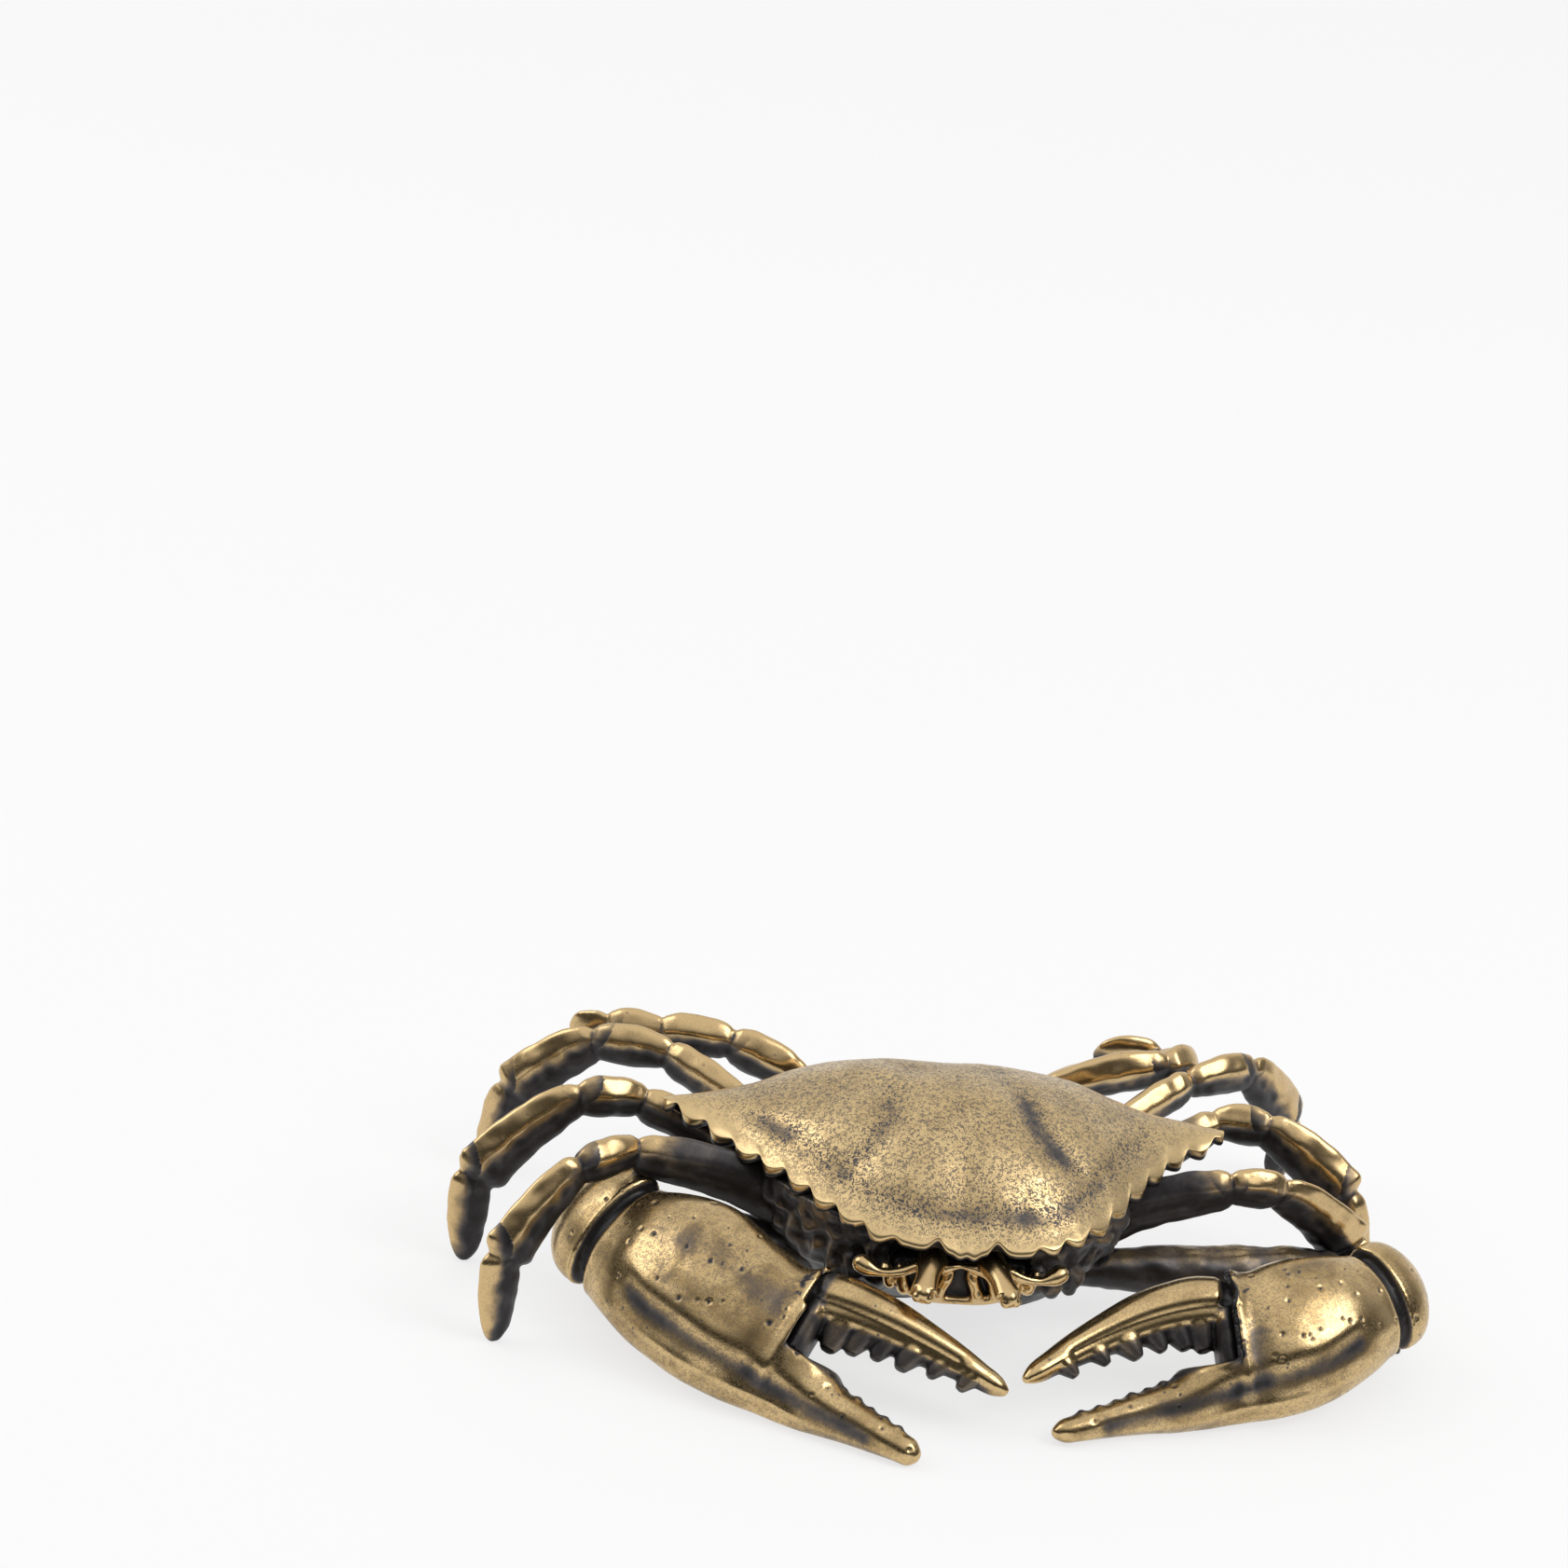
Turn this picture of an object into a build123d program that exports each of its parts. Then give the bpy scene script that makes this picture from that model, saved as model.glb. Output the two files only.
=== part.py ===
from build123d import *
import os
from math import cos, radians, sin, sqrt

# Crab figurine of cast brass castings, pegged and soldered together. Millimetres, +Z up.
# The crab faces -Y, so its left side is at +X. The table is at z = 0.
# Every place below is measured from the crab's middle, which stands here in the part's frame.
MIDDLE_X = -0.65
MIDDLE_Y = 2.35

# Carapace: the domed shell. Depths are from the crab's middle, heights from the table.
CARAPACE_WIDTH = 38.0
CARAPACE_FRONT = 13.0
CARAPACE_REAR = 10.0
CREST_HEIGHT = 16.5
RIM_FRONT_HEIGHT = 10.3
RIM_TIP_HEIGHT = 12.3
RIM_LIFT_POWER = 1.5
RIM_DROP = 1.4
SHELL_WALL = 1.7
# Share of the half width, then the shares of the front depth, rear depth and dome rise there.
CARAPACE_SECTIONS = (
    (0.0, 1.0, 1.0, 1.0),
    (0.26, 0.94, 0.99, 0.89),
    (0.47, 0.71, 0.86, 0.65),
    (0.68, 0.37, 0.54, 0.35),
    (0.87, 0.08, 0.30, 0.16),
    (0.985, -0.08, 0.19, 0.055),
)
HOLLOW_SECTIONS = 4
DOME_SHOULDER = 0.75
TOOTH_GAPS = 8
TOOTH_GAP_RADIUS = 0.7
TOOTH_GAP_OUT = 0.3
FIRST_GAP_SHARE = 0.29
LAST_GAP_SHARE = 0.9
ORBIT_RADIUS = 0.8

# Arched joint between carapace and underbody, a round surface that lies along X.
ARCH_RADIUS = 30.4
ARCH_RISE = 1.45
ARCH_TOP = RIM_FRONT_HEIGHT + ARCH_RISE
ARCH_Y = -1.6
SOLDER_GAP = 0.05

# Underbody, set in from the edge of the shell at its sides and at its ends.
BELLY_SIDE_INSET = 6.0
BELLY_END_INSET = 1.3
BELLY_TOP_SPARE = 0.85
BELLY_HALF_WIDTH = CARAPACE_WIDTH / 2 - BELLY_SIDE_INSET
BELLY_HALF_LENGTH = (CARAPACE_FRONT + CARAPACE_REAR) / 2 - BELLY_END_INSET
BELLY_Y = (CARAPACE_REAR - CARAPACE_FRONT) / 2
# Its levels: depth under the shell's front edge, then how far its sides and its ends draw in.
BELLY_DRAW = ((7.9, 6.8, 5.2), (6.1, 3.2, 1.8), (3.9, 1.2, 0.4), (1.3, 0.2, 0.0))

# Mouth plate on the flat front of the underbody.
FACE_SETBACK = 2.4
FACE_DROP = 1.1
FACE_Y = FACE_SETBACK - CARAPACE_FRONT
FACE_TOP = RIM_FRONT_HEIGHT - FACE_DROP
FACE_HEIGHT = 3.0
FACE_TOP_WIDTH = 9.6
FACE_LOW_WIDTH = 6.2
FACE_THICKNESS = 1.0
FACE_CORNER = 0.7
RIB_COUNT = 5
RIB_WIDTH = 0.6
RIB_LENGTH = 2.1
RIB_HEIGHT = 0.5
RIB_DROP = 1.65
RIB_FAN = 11.0

# Eye stalks, in holes through the mouth plate.
EYE_SPREAD = 1.9
EYE_DROP = 0.5
EYE_SIDE_REACH = 0.9
EYE_FRONT_REACH = 3.1
EYE_HEIGHT = 8.45
EYE_STALK_RADIUS = 0.42
EYE_BULB_RADIUS = 0.62
EYE_PEG_LENGTH = 1.0

# Pegs and sockets of the limbs.
PEG_RADIUS = 0.8
PEG_LENGTH = 2.0
SOCKET_CLEARANCE = 0.06
SOCKET_SPARE = 0.15
SEAT_MARGIN = 0.7
SEAT_DEPTH = 0.5
SEAT_CUT = 5.0

# Limb roots: share of the underbody's half length from its middle, and depth under the shell's front edge.
ROOT_SHARES = {"leg_1": -0.21, "leg_2": 0.19, "leg_3": 0.57, "paddle_leg": 0.875, "claw_arm": -0.333}
ROOT_DEPTHS = {"leg_1": 2.9, "leg_2": 2.7, "leg_3": 2.7, "paddle_leg": 3.1, "claw_arm": 5.6}

# Leg segments: thickness and height of the blade, from the body outwards.
LEG_BLADES = ((1.9, 2.7), (2.0, 2.5), (1.7, 2.8), (1.4, 2.5))
PADDLE_BLADES = ((1.9, 2.2), (1.9, 2.6), (1.8, 2.4), (1.5, 2.8), (1.2, 3.4))
LEG_ROOT_DIAMETER = 2.1
LEG_ROOT_SHARE = 0.15
SEGMENT_LAP = 0.4
FOOT_SINK = 0.2
# Where along a segment its blade is how large, as shares of length and of blade size.
SEGMENT_SHAPE = ((0.0, 0.78), (0.3, 0.95), (0.7, 1.0), (1.0, 0.8))
TIP_SHAPE = ((0.0, 0.8), (0.3, 1.0), (0.7, 0.72), (1.0, 0.4))
PADDLE_SHAPE = ((0.0, 0.5), (0.35, 0.95), (0.7, 1.0), (0.92, 0.6), (1.0, 0.3))
# Walking legs. Knee: out from the shell's tip, y, height over the shell's front edge. Ankle and heel: across
# from the middle, y, height over that edge. Tip on the table: across and y. The front pair's y is behind that edge.
LEGS = {
    "left_leg_1": ((0.2, 9.6, 0.9), (22.7, 10.4, 0.3), (28.6, 12.8, -4.9), (31.9, 7.6)),
    "left_leg_2": ((0.4, 5.1, 0.9), (22.8, 4.0, 1.3), (28.9, 2.5, -2.9), (30.9, 1.2)),
    "left_leg_3": ((-0.5, 10.8, 0.7), (23.5, 13.7, 0.3), (28.0, 16.8, -5.5), (27.6, 16.8)),
    "right_leg_1": ((2.3, 9.7, 0.9), (25.1, 7.0, 0.9), (29.8, 3.6, -4.2), (29.6, 3.2)),
    "right_leg_2": ((1.2, 3.5, 0.9), (24.6, 2.2, 1.6), (31.2, 0.6, -4.1), (31.1, 0.1)),
    "right_leg_3": ((-1.2, 10.4, 0.7), (22.8, 11.6, 0.6), (27.9, 12.3, -4.1), (29.0, 12.5)),
}
# Paddle legs: distance across from the middle, back from the shell's rear edge, and over its front edge.
PADDLE_LEGS = {
    "left_paddle_leg": (
        (8.6, 2.2, -1.3),
        (17.3, 3.0, 0.9),
        (19.2, 5.0, -0.1),
        (17.0, 6.2, -0.3),
        (12.8, 6.6, -0.5),
    ),
    "right_paddle_leg": (
        (8.2, 2.2, -1.3),
        (13.2, 3.4, 0.9),
        (17.9, 4.4, 0.7),
        (21.4, 5.2, 0.3),
        (23.6, 6.2, -1.3),
    ),
}

# Claws: tilt of the broad palm, and the swell of each casting along its length.
CLAW_TILT = 45.0
WRIST_LEAN = 25.0
PALM_SHAPE = ((0.0, 0.63), (0.2, 0.83), (0.55, 0.98), (0.82, 1.0), (1.0, 0.9))
WRIST_LENGTH = 4.6
WRIST_SHAPE = ((0.0, 0.62), (0.32, 0.71), (0.64, 0.6), (0.9, 0.34), (1.0, 0.16))
FINGER_SHAPE = ((0.0, 1.0), (0.33, 0.96), (0.66, 0.64), (0.9, 0.36), (1.0, 0.2))
FIXED_SHAPE = ((0.0, 1.0), (0.35, 0.9), (0.65, 0.62), (0.88, 0.36), (1.0, 0.2))
FINGER_FLATNESS = 0.9
GROOVE_WIDTH = 0.8
BOSS_SHARE = 0.62
PALM_PEG_RADIUS = 1.1
PALM_PEG_LENGTH = 2.6
FINGER_PEG_RADIUS = 0.8
FINGER_PEG_LENGTH = 1.8
FINGER_GROOVE = 0.45
FINGER_OFFSET = 0.5
FINGER_WIDTH_SHARE = 0.42
FIXED_START_SHARE = 0.62
FIXED_OFFSET = 0.54
FIXED_WIDTH_SHARE = 0.48
CURVE_REACH = 6.5
FINGER_REACH = 5.0
ARM_RADIUS = 1.65
ARM_SHAPE = ((0.0, 0.62), (0.25, 0.9), (0.75, 1.0), (1.0, 0.86))
TEETH = 6
TOOTH_RADIUS = 0.75
TOOTH_SINK = 0.3
TOOTH_SHRINK = 0.4
FIRST_TOOTH_SHARE = 0.2
LAST_TOOTH_SHARE = 0.86
# Palm ends, elbow and finger tips: across from the middle, behind the shell's front edge, and height.
CLAWS = {
    "left": {
        "palm": ((28.9, 4.3, 5.0), (18.0, 1.1, 4.2)),
        "half_width": 5.35,
        "half_thickness": 3.1,
        "elbow": (26.6, 10.6, 4.3),
        "finger_tip": (4.3, -3.5, 3.3),
        "fixed_tip": (6.6, -5.7, 0.8),
    },
    "right": {
        "palm": ((21.8, 6.8, 5.1), (10.2, -1.0, 4.85)),
        "half_width": 6.2,
        "half_thickness": 3.3,
        "elbow": (20.5, 13.6, 4.4),
        "finger_tip": (-3.1, -4.7, 3.0),
        "fixed_tip": (3.1, -9.0, 0.8),
    },
}

SIDES = {"left": 1, "right": -1}
UP = Vector(0, 0, 1)

os.makedirs("parts", exist_ok=True)


def place(point):
    """The point in the part's frame, from its place about the crab's middle."""
    return Vector(*point) + Vector(MIDDLE_X, MIDDLE_Y, 0)


def behind_front(sign, across, back, z):
    """A point of the part's frame, measured across from the middle and back from the shell's front edge."""
    return place((sign * across, back - CARAPACE_FRONT, z))


def finish(piece, label):
    """Labels a finished piece and writes it as its own file."""
    piece.part.label = label
    export_step(piece.part, f"parts/{label}.step")


def between(table, place_along, column):
    """The value in a column of a table, at a place between its rows."""
    for low, high in zip(table, table[1:]):
        if low[0] <= place_along <= high[0]:
            part_way = (place_along - low[0]) / (high[0] - low[0])
            return low[column] + (high[column] - low[column]) * part_way
    return table[-1][column]


def curve_point(start, control, end, share):
    """A point of the bent line from start to end that leaves towards control."""
    rest = 1 - share
    return start * rest**2 + control * (2 * rest * share) + end * share**2


def curve_axis(start, control, end, share):
    """The direction of that bent line."""
    return ((control - start) * (1 - share) + (end - control) * share).normalized()


def ellipse_at(origin, axis, side, half_side, half_other):
    """One elliptical section across axis, with its first half size along side."""
    across = (side - axis * side.dot(axis)).normalized()
    with BuildSketch(Plane(origin=origin, x_dir=across, z_dir=axis)) as section:
        Ellipse(half_side, half_other)
    return section.sketch


def blade(start, end, side, size, shape):
    """One limb segment: a loft of ellipses between two joints, added to the open part."""
    axis = (end - start).normalized()
    sections = []
    for share, swell in shape:
        middle = start + (end - start) * share
        sections.append(ellipse_at(middle, axis, side, size[0] / 2 * swell, size[1] / 2 * swell))
    loft(sections)


def horn(curve, side, half_side, half_other, shape):
    """A palm or finger: a loft of ellipses along a bent line, added to the open part."""
    sections = []
    for share, swell in shape:
        middle = curve_point(*curve, share)
        sections.append(ellipse_at(middle, curve_axis(*curve, share), side, half_side * swell, half_other * swell))
    loft(sections)


def peg(origin, axis, radius, length):
    """A round peg that leaves origin against axis, added to the open part."""
    with BuildSketch(Plane(origin=origin, z_dir=-axis)) as section:
        Circle(radius)
    extrude(section.sketch, amount=length)


def socket(origin, axis, radius, length):
    """The hole for such a peg, cut from the open part."""
    with BuildSketch(Plane(origin=origin, z_dir=-axis)) as section:
        Circle(radius + SOCKET_CLEARANCE)
    extrude(section.sketch, amount=length + SOCKET_SPARE, mode=Mode.SUBTRACT)


def belly_levels():
    """Height, half width and half length of each level of the underbody, from the lowest."""
    levels = [
        (RIM_FRONT_HEIGHT - depth, BELLY_HALF_WIDTH - side_draw, BELLY_HALF_LENGTH - end_draw)
        for depth, side_draw, end_draw in BELLY_DRAW
    ]
    return levels + [(ARCH_TOP + BELLY_TOP_SPARE, BELLY_HALF_WIDTH, BELLY_HALF_LENGTH)]


def limb_seat(sign, limb):
    """Where a limb's root sits, just inside the flank of the underbody."""
    share = ROOT_SHARES[limb]
    height = RIM_FRONT_HEIGHT - ROOT_DEPTHS[limb]
    half_width = between(belly_levels(), height, 1)
    half_length = between(belly_levels(), height, 2)
    flank = half_width * sqrt(1 - share**2)
    return place((sign * (flank - SEAT_DEPTH), BELLY_Y + share * half_length, height))


def leg_joints(name):
    """The joints of a leg from its knee outwards, and its tip."""
    side, limb = name.split("_", 1)
    sign = SIDES[side]
    if name in PADDLE_LEGS:
        return [
            place((sign * across, CARAPACE_REAR + back, RIM_FRONT_HEIGHT + rise))
            for across, back, rise in PADDLE_LEGS[name]
        ]
    (knee_out, *knee), ankle, heel, tip = LEGS[name]
    bends = ((CARAPACE_WIDTH / 2 + knee_out, *knee), ankle, heel, (*tip, -RIM_FRONT_HEIGHT - FOOT_SINK))
    zero_y = -CARAPACE_FRONT if limb == "leg_1" else 0.0
    return [place((sign * across, zero_y + y, RIM_FRONT_HEIGHT + rise)) for across, y, rise in bends]


def limb_roots():
    """Seat and outward axis of every limb root on the underbody."""
    roots = {}
    for name in LEGS | PADDLE_LEGS:
        side, limb = name.split("_", 1)
        seat = limb_seat(SIDES[side], limb)
        roots[name] = (seat, (leg_joints(name)[0] - seat).normalized())
    for side, sign in SIDES.items():
        seat = limb_seat(sign, "claw_arm")
        roots[side + "_claw_arm"] = (seat, (behind_front(sign, *CLAWS[side]["elbow"]) - seat).normalized())
    return roots


def rim_height(share):
    """Height of the shell's edge at a share of its half width."""
    return RIM_FRONT_HEIGHT + (RIM_TIP_HEIGHT - RIM_FRONT_HEIGHT) * share**RIM_LIFT_POWER


def dome(sections, inset):
    """A loft of upright sections across the shell, each set in by inset, added to the open part."""
    both = [(-share, *rest) for share, *rest in reversed(sections[1:])] + list(sections)
    outlines = []
    for share, front_share, rear_share, rise_share in both:
        x = share * CARAPACE_WIDTH / 2
        rim = rim_height(abs(share))
        front = -CARAPACE_FRONT * front_share + inset
        rear = CARAPACE_REAR * rear_share - inset
        rise = (CREST_HEIGHT - RIM_FRONT_HEIGHT) * rise_share - inset
        middle = (front + rear) / 2
        shoulder = rim + rise * DOME_SHOULDER
        base = rim - RIM_DROP - inset
        upright = Plane(origin=place((x, 0, 0)), x_dir=(0, 1, 0), z_dir=(1, 0, 0))
        with BuildSketch(upright) as outline:
            with BuildLine():
                Spline(
                    (front, rim),
                    ((front + middle) / 2, shoulder),
                    (middle, rim + rise),
                    ((middle + rear) / 2, shoulder),
                    (rear, rim),
                )
                Polyline((rear, rim), (rear, base), (front, base), (front, rim))
            make_face()
        outlines.append(outline.sketch)
    loft(outlines)


def arch_end(radius):
    """The round end of the bar that fills the arched joint, beyond the shell's right side."""
    axis_point = place((-CARAPACE_WIDTH, ARCH_Y, ARCH_TOP - ARCH_RADIUS))
    with BuildSketch(Plane(origin=axis_point, x_dir=(0, 1, 0), z_dir=(1, 0, 0))) as section:
        Circle(radius)
    return section.sketch


def eye_line(sign):
    """Where an eye stalk leaves the mouth plate, and how far it reaches."""
    root = place((sign * EYE_SPREAD, FACE_Y - FACE_THICKNESS, FACE_TOP - EYE_DROP))
    return root, Vector(sign * EYE_SIDE_REACH, -EYE_FRONT_REACH, EYE_HEIGHT - root.Z)


ROOTS = limb_roots()

# Carapace, hollow under the dome, with gaps between the teeth of its edge and two eye orbits.
with BuildPart() as hollow:
    dome(CARAPACE_SECTIONS[:HOLLOW_SECTIONS], SHELL_WALL)

with BuildPart() as carapace:
    dome(CARAPACE_SECTIONS, 0.0)
    add(hollow.part, mode=Mode.SUBTRACT)
    extrude(arch_end(ARCH_RADIUS), amount=2 * CARAPACE_WIDTH, mode=Mode.SUBTRACT)
    gap_step = (LAST_GAP_SHARE - FIRST_GAP_SHARE) / (TOOTH_GAPS - 1)
    gap_points = []
    for index in range(TOOTH_GAPS):
        gap_share = FIRST_GAP_SHARE + gap_step * index
        gap_y = -CARAPACE_FRONT * between(CARAPACE_SECTIONS, gap_share, 1) - TOOTH_GAP_OUT
        for sign in SIDES.values():
            gap_points.append(place((sign * gap_share * CARAPACE_WIDTH / 2, gap_y, 0)))
    orbit_points = [place((sign * EYE_SPREAD, -CARAPACE_FRONT, 0)) for sign in SIDES.values()]
    with BuildSketch(Plane.XY):
        with Locations(*gap_points):
            Circle(TOOTH_GAP_RADIUS)
        with Locations(*orbit_points):
            Circle(ORBIT_RADIUS)
    extrude(amount=CREST_HEIGHT, mode=Mode.SUBTRACT)
finish(carapace, "carapace")

# Underbody: levels lofted upwards, arched on top, flat in front, with a seat and socket per limb.
with BuildPart() as underbody:
    for height, half_width, half_length in belly_levels():
        with BuildSketch(Plane(origin=place((0, BELLY_Y, height)))):
            Ellipse(half_width, half_length)
    loft()
    extrude(arch_end(ARCH_RADIUS - SOLDER_GAP), amount=2 * CARAPACE_WIDTH, mode=Mode.INTERSECT)
    split(bisect_by=Plane(origin=place((0, FACE_Y, 0)), z_dir=(0, 1, 0)), keep=Keep.TOP)
    for seat, axis in ROOTS.values():
        with BuildSketch(Plane(origin=seat, z_dir=axis)):
            Circle(LEG_ROOT_DIAMETER / 2 + SEAT_MARGIN)
        extrude(amount=SEAT_CUT, mode=Mode.SUBTRACT)
        socket(seat, axis, PEG_RADIUS, PEG_LENGTH)
    for sign in SIDES.values():
        eye_root, eye_reach = eye_line(sign)
        socket(eye_root, eye_reach.normalized(), EYE_STALK_RADIUS, FACE_THICKNESS + EYE_PEG_LENGTH)
finish(underbody, "underbody")

# Mouth plate: a rounded plate with ribs that fan out, and the two holes of the eye stalks.
with BuildPart() as mouth_plate:
    face_plane = Plane(origin=place((0, FACE_Y, FACE_TOP)), x_dir=(1, 0, 0), z_dir=(0, -1, 0))
    with BuildSketch(face_plane):
        with BuildLine():
            Polyline(
                (-FACE_TOP_WIDTH / 2, 0),
                (FACE_TOP_WIDTH / 2, 0),
                (FACE_LOW_WIDTH / 2, -FACE_HEIGHT),
                (-FACE_LOW_WIDTH / 2, -FACE_HEIGHT),
                close=True,
            )
        make_face()
        fillet(vertices(), FACE_CORNER)
    extrude(amount=FACE_THICKNESS)
    rib_step = FACE_LOW_WIDTH / RIB_COUNT
    with BuildSketch(face_plane.offset(FACE_THICKNESS)):
        for index in range(RIB_COUNT):
            rank = index - (RIB_COUNT - 1) / 2
            with Locations(Location((rank * rib_step, -RIB_DROP), -RIB_FAN * rank)):
                SlotOverall(RIB_LENGTH, RIB_WIDTH, rotation=90)
    extrude(amount=RIB_HEIGHT)
    for sign in SIDES.values():
        eye_root, eye_reach = eye_line(sign)
        with BuildSketch(Plane(origin=eye_root, z_dir=-eye_reach)):
            Circle(EYE_STALK_RADIUS + SOCKET_CLEARANCE)
        extrude(amount=2 * FACE_THICKNESS, both=True, mode=Mode.SUBTRACT)
finish(mouth_plate, "mouth_plate")

# Eye stalks: a peg through the plate, a thin stalk and a bulb at its end.
for side, sign in SIDES.items():
    eye_root, eye_reach = eye_line(sign)
    with BuildPart() as eye_stalk:
        peg(eye_root, eye_reach.normalized(), EYE_STALK_RADIUS, FACE_THICKNESS + EYE_PEG_LENGTH)
        with BuildSketch(Plane(origin=eye_root, z_dir=eye_reach)):
            Circle(EYE_STALK_RADIUS)
        extrude(amount=eye_reach.length)
        with Locations(eye_root + eye_reach):
            Sphere(EYE_BULB_RADIUS)
    finish(eye_stalk, f"{side}_eye_stalk")

# Legs: each one casting, a peg and its bladed segments. A walking leg is filed flat under its tip.
for name in LEGS | PADDLE_LEGS:
    seat, root_axis = ROOTS[name]
    stops = [seat] + leg_joints(name)
    run = stops[-1] - stops[0]
    leg_side = Vector(run.Y, -run.X, 0).normalized()
    is_paddle = name in PADDLE_LEGS
    blades = PADDLE_BLADES if is_paddle else LEG_BLADES
    with BuildPart() as leg:
        peg(seat, root_axis, PEG_RADIUS, PEG_LENGTH)
        for index, size in enumerate(blades):
            start, end = stops[index], stops[index + 1]
            lap = (end - start).normalized() * SEGMENT_LAP
            if index == 0:
                root_swell = LEG_ROOT_DIAMETER / size[1]
                root_shape = ((0.0, root_swell), (LEG_ROOT_SHARE, root_swell))
                blade(start, end, leg_side, size, root_shape + SEGMENT_SHAPE[1:])
            elif index < len(blades) - 1:
                blade(start - lap, end, leg_side, size, SEGMENT_SHAPE)
            else:
                blade(start - lap, end, leg_side, size, PADDLE_SHAPE if is_paddle else TIP_SHAPE)
        if not is_paddle:
            split(bisect_by=Plane.XY, keep=Keep.TOP)
    finish(leg, name)


def tooth_row(curve, half_width, shape, inner_side):
    """Small round teeth along the inner edge of a finger, added to the open part."""
    for index in range(TEETH):
        share = FIRST_TOOTH_SHARE + (LAST_TOOTH_SHARE - FIRST_TOOTH_SHARE) * index / (TEETH - 1)
        inner_edge = half_width * between(shape, share, 1) - TOOTH_SINK
        with Locations(curve_point(*curve, share) + inner_side * inner_edge):
            Sphere(TOOTH_RADIUS * (1 - TOOTH_SHRINK * share))


def claw(side, data):
    """The four castings of one claw, from the underbody to the finger tips."""
    start, end = (behind_front(SIDES[side], *point) for point in data["palm"])
    axis = (end - start).normalized()
    level = Vector(-axis.Y, axis.X, 0).normalized() * SIDES[side]
    lower = level * cos(radians(CLAW_TILT)) - UP * sin(radians(CLAW_TILT))
    lower = (lower - axis * lower.dot(axis)).normalized()
    wrist_axis = -axis * cos(radians(WRIST_LEAN)) - level * sin(radians(WRIST_LEAN))
    palm_curve = (start, start - wrist_axis * CURVE_REACH, end)
    half_width, half_thickness = data["half_width"], data["half_thickness"]
    elbow = behind_front(SIDES[side], *data["elbow"])
    seat, arm_axis = ROOTS[f"{side}_claw_arm"]
    finger_half = half_width * FINGER_WIDTH_SHARE
    fixed_half = half_width * FIXED_WIDTH_SHARE
    palm_end_axis = curve_axis(*palm_curve, 1.0)
    palm_end_lower = (lower - palm_end_axis * lower.dot(palm_end_axis)).normalized()
    knuckle = end - palm_end_lower * (half_width * PALM_SHAPE[-1][1] * FINGER_OFFSET)
    finger_root = knuckle + palm_end_axis * FINGER_GROOVE
    finger_tip = behind_front(SIDES[side], *data["finger_tip"])
    finger_curve = (finger_root, finger_root + palm_end_axis * FINGER_REACH, finger_tip)
    fixed_root = start + (end - start) * FIXED_START_SHARE + lower * (half_width * FIXED_OFFSET)
    fixed_tip = behind_front(SIDES[side], *data["fixed_tip"])
    fixed_curve = (fixed_root, fixed_root + axis * CURVE_REACH, fixed_tip)
    wrist_face = start + wrist_axis * GROOVE_WIDTH
    wrist_end = wrist_face + wrist_axis * WRIST_LENGTH
    wrist_heart = wrist_face + wrist_axis * (WRIST_LENGTH * WRIST_SHAPE[1][0])
    neck_axis = (wrist_heart - elbow).normalized()

    with BuildPart() as palm:
        horn(palm_curve, lower, half_width, half_thickness, PALM_SHAPE)
        horn(fixed_curve, lower, fixed_half, fixed_half * FINGER_FLATNESS, FIXED_SHAPE)
        tooth_row(fixed_curve, fixed_half, FIXED_SHAPE, -lower)
        split(bisect_by=Plane.XY, keep=Keep.TOP)
        socket(start, wrist_axis, PALM_PEG_RADIUS, PALM_PEG_LENGTH)
        socket(knuckle, palm_end_axis, FINGER_PEG_RADIUS, FINGER_PEG_LENGTH)
    finish(palm, f"{side}_claw_palm")

    with BuildPart() as finger:
        horn(finger_curve, lower, finger_half, finger_half * FINGER_FLATNESS, FINGER_SHAPE)
        tooth_row(finger_curve, finger_half, FINGER_SHAPE, lower)
        peg(finger_root, palm_end_axis, finger_half * BOSS_SHARE, FINGER_GROOVE)
        peg(knuckle, palm_end_axis, FINGER_PEG_RADIUS, FINGER_PEG_LENGTH)
    finish(finger, f"{side}_claw_finger")

    with BuildPart() as wrist:
        blade(wrist_face, wrist_end, lower, (2 * half_width, 2 * half_thickness), WRIST_SHAPE)
        peg(elbow, -neck_axis, ARM_RADIUS, (wrist_heart - elbow).length)
        peg(wrist_face, wrist_axis, half_thickness * BOSS_SHARE, GROOVE_WIDTH)
        peg(start, wrist_axis, PALM_PEG_RADIUS, PALM_PEG_LENGTH)
        socket(elbow, -neck_axis, PEG_RADIUS, PEG_LENGTH)
    finish(wrist, f"{side}_claw_wrist")

    with BuildPart() as arm:
        peg(seat, arm_axis, PEG_RADIUS, PEG_LENGTH)
        blade(seat, elbow, UP, (2 * ARM_RADIUS, 2 * ARM_RADIUS), ARM_SHAPE)
        split(bisect_by=Plane(origin=elbow, z_dir=-neck_axis), keep=Keep.TOP)
        peg(elbow, -neck_axis, PEG_RADIUS, PEG_LENGTH)
    finish(arm, f"{side}_claw_arm")


for claw_side, claw_data in CLAWS.items():
    claw(claw_side, claw_data)
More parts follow.
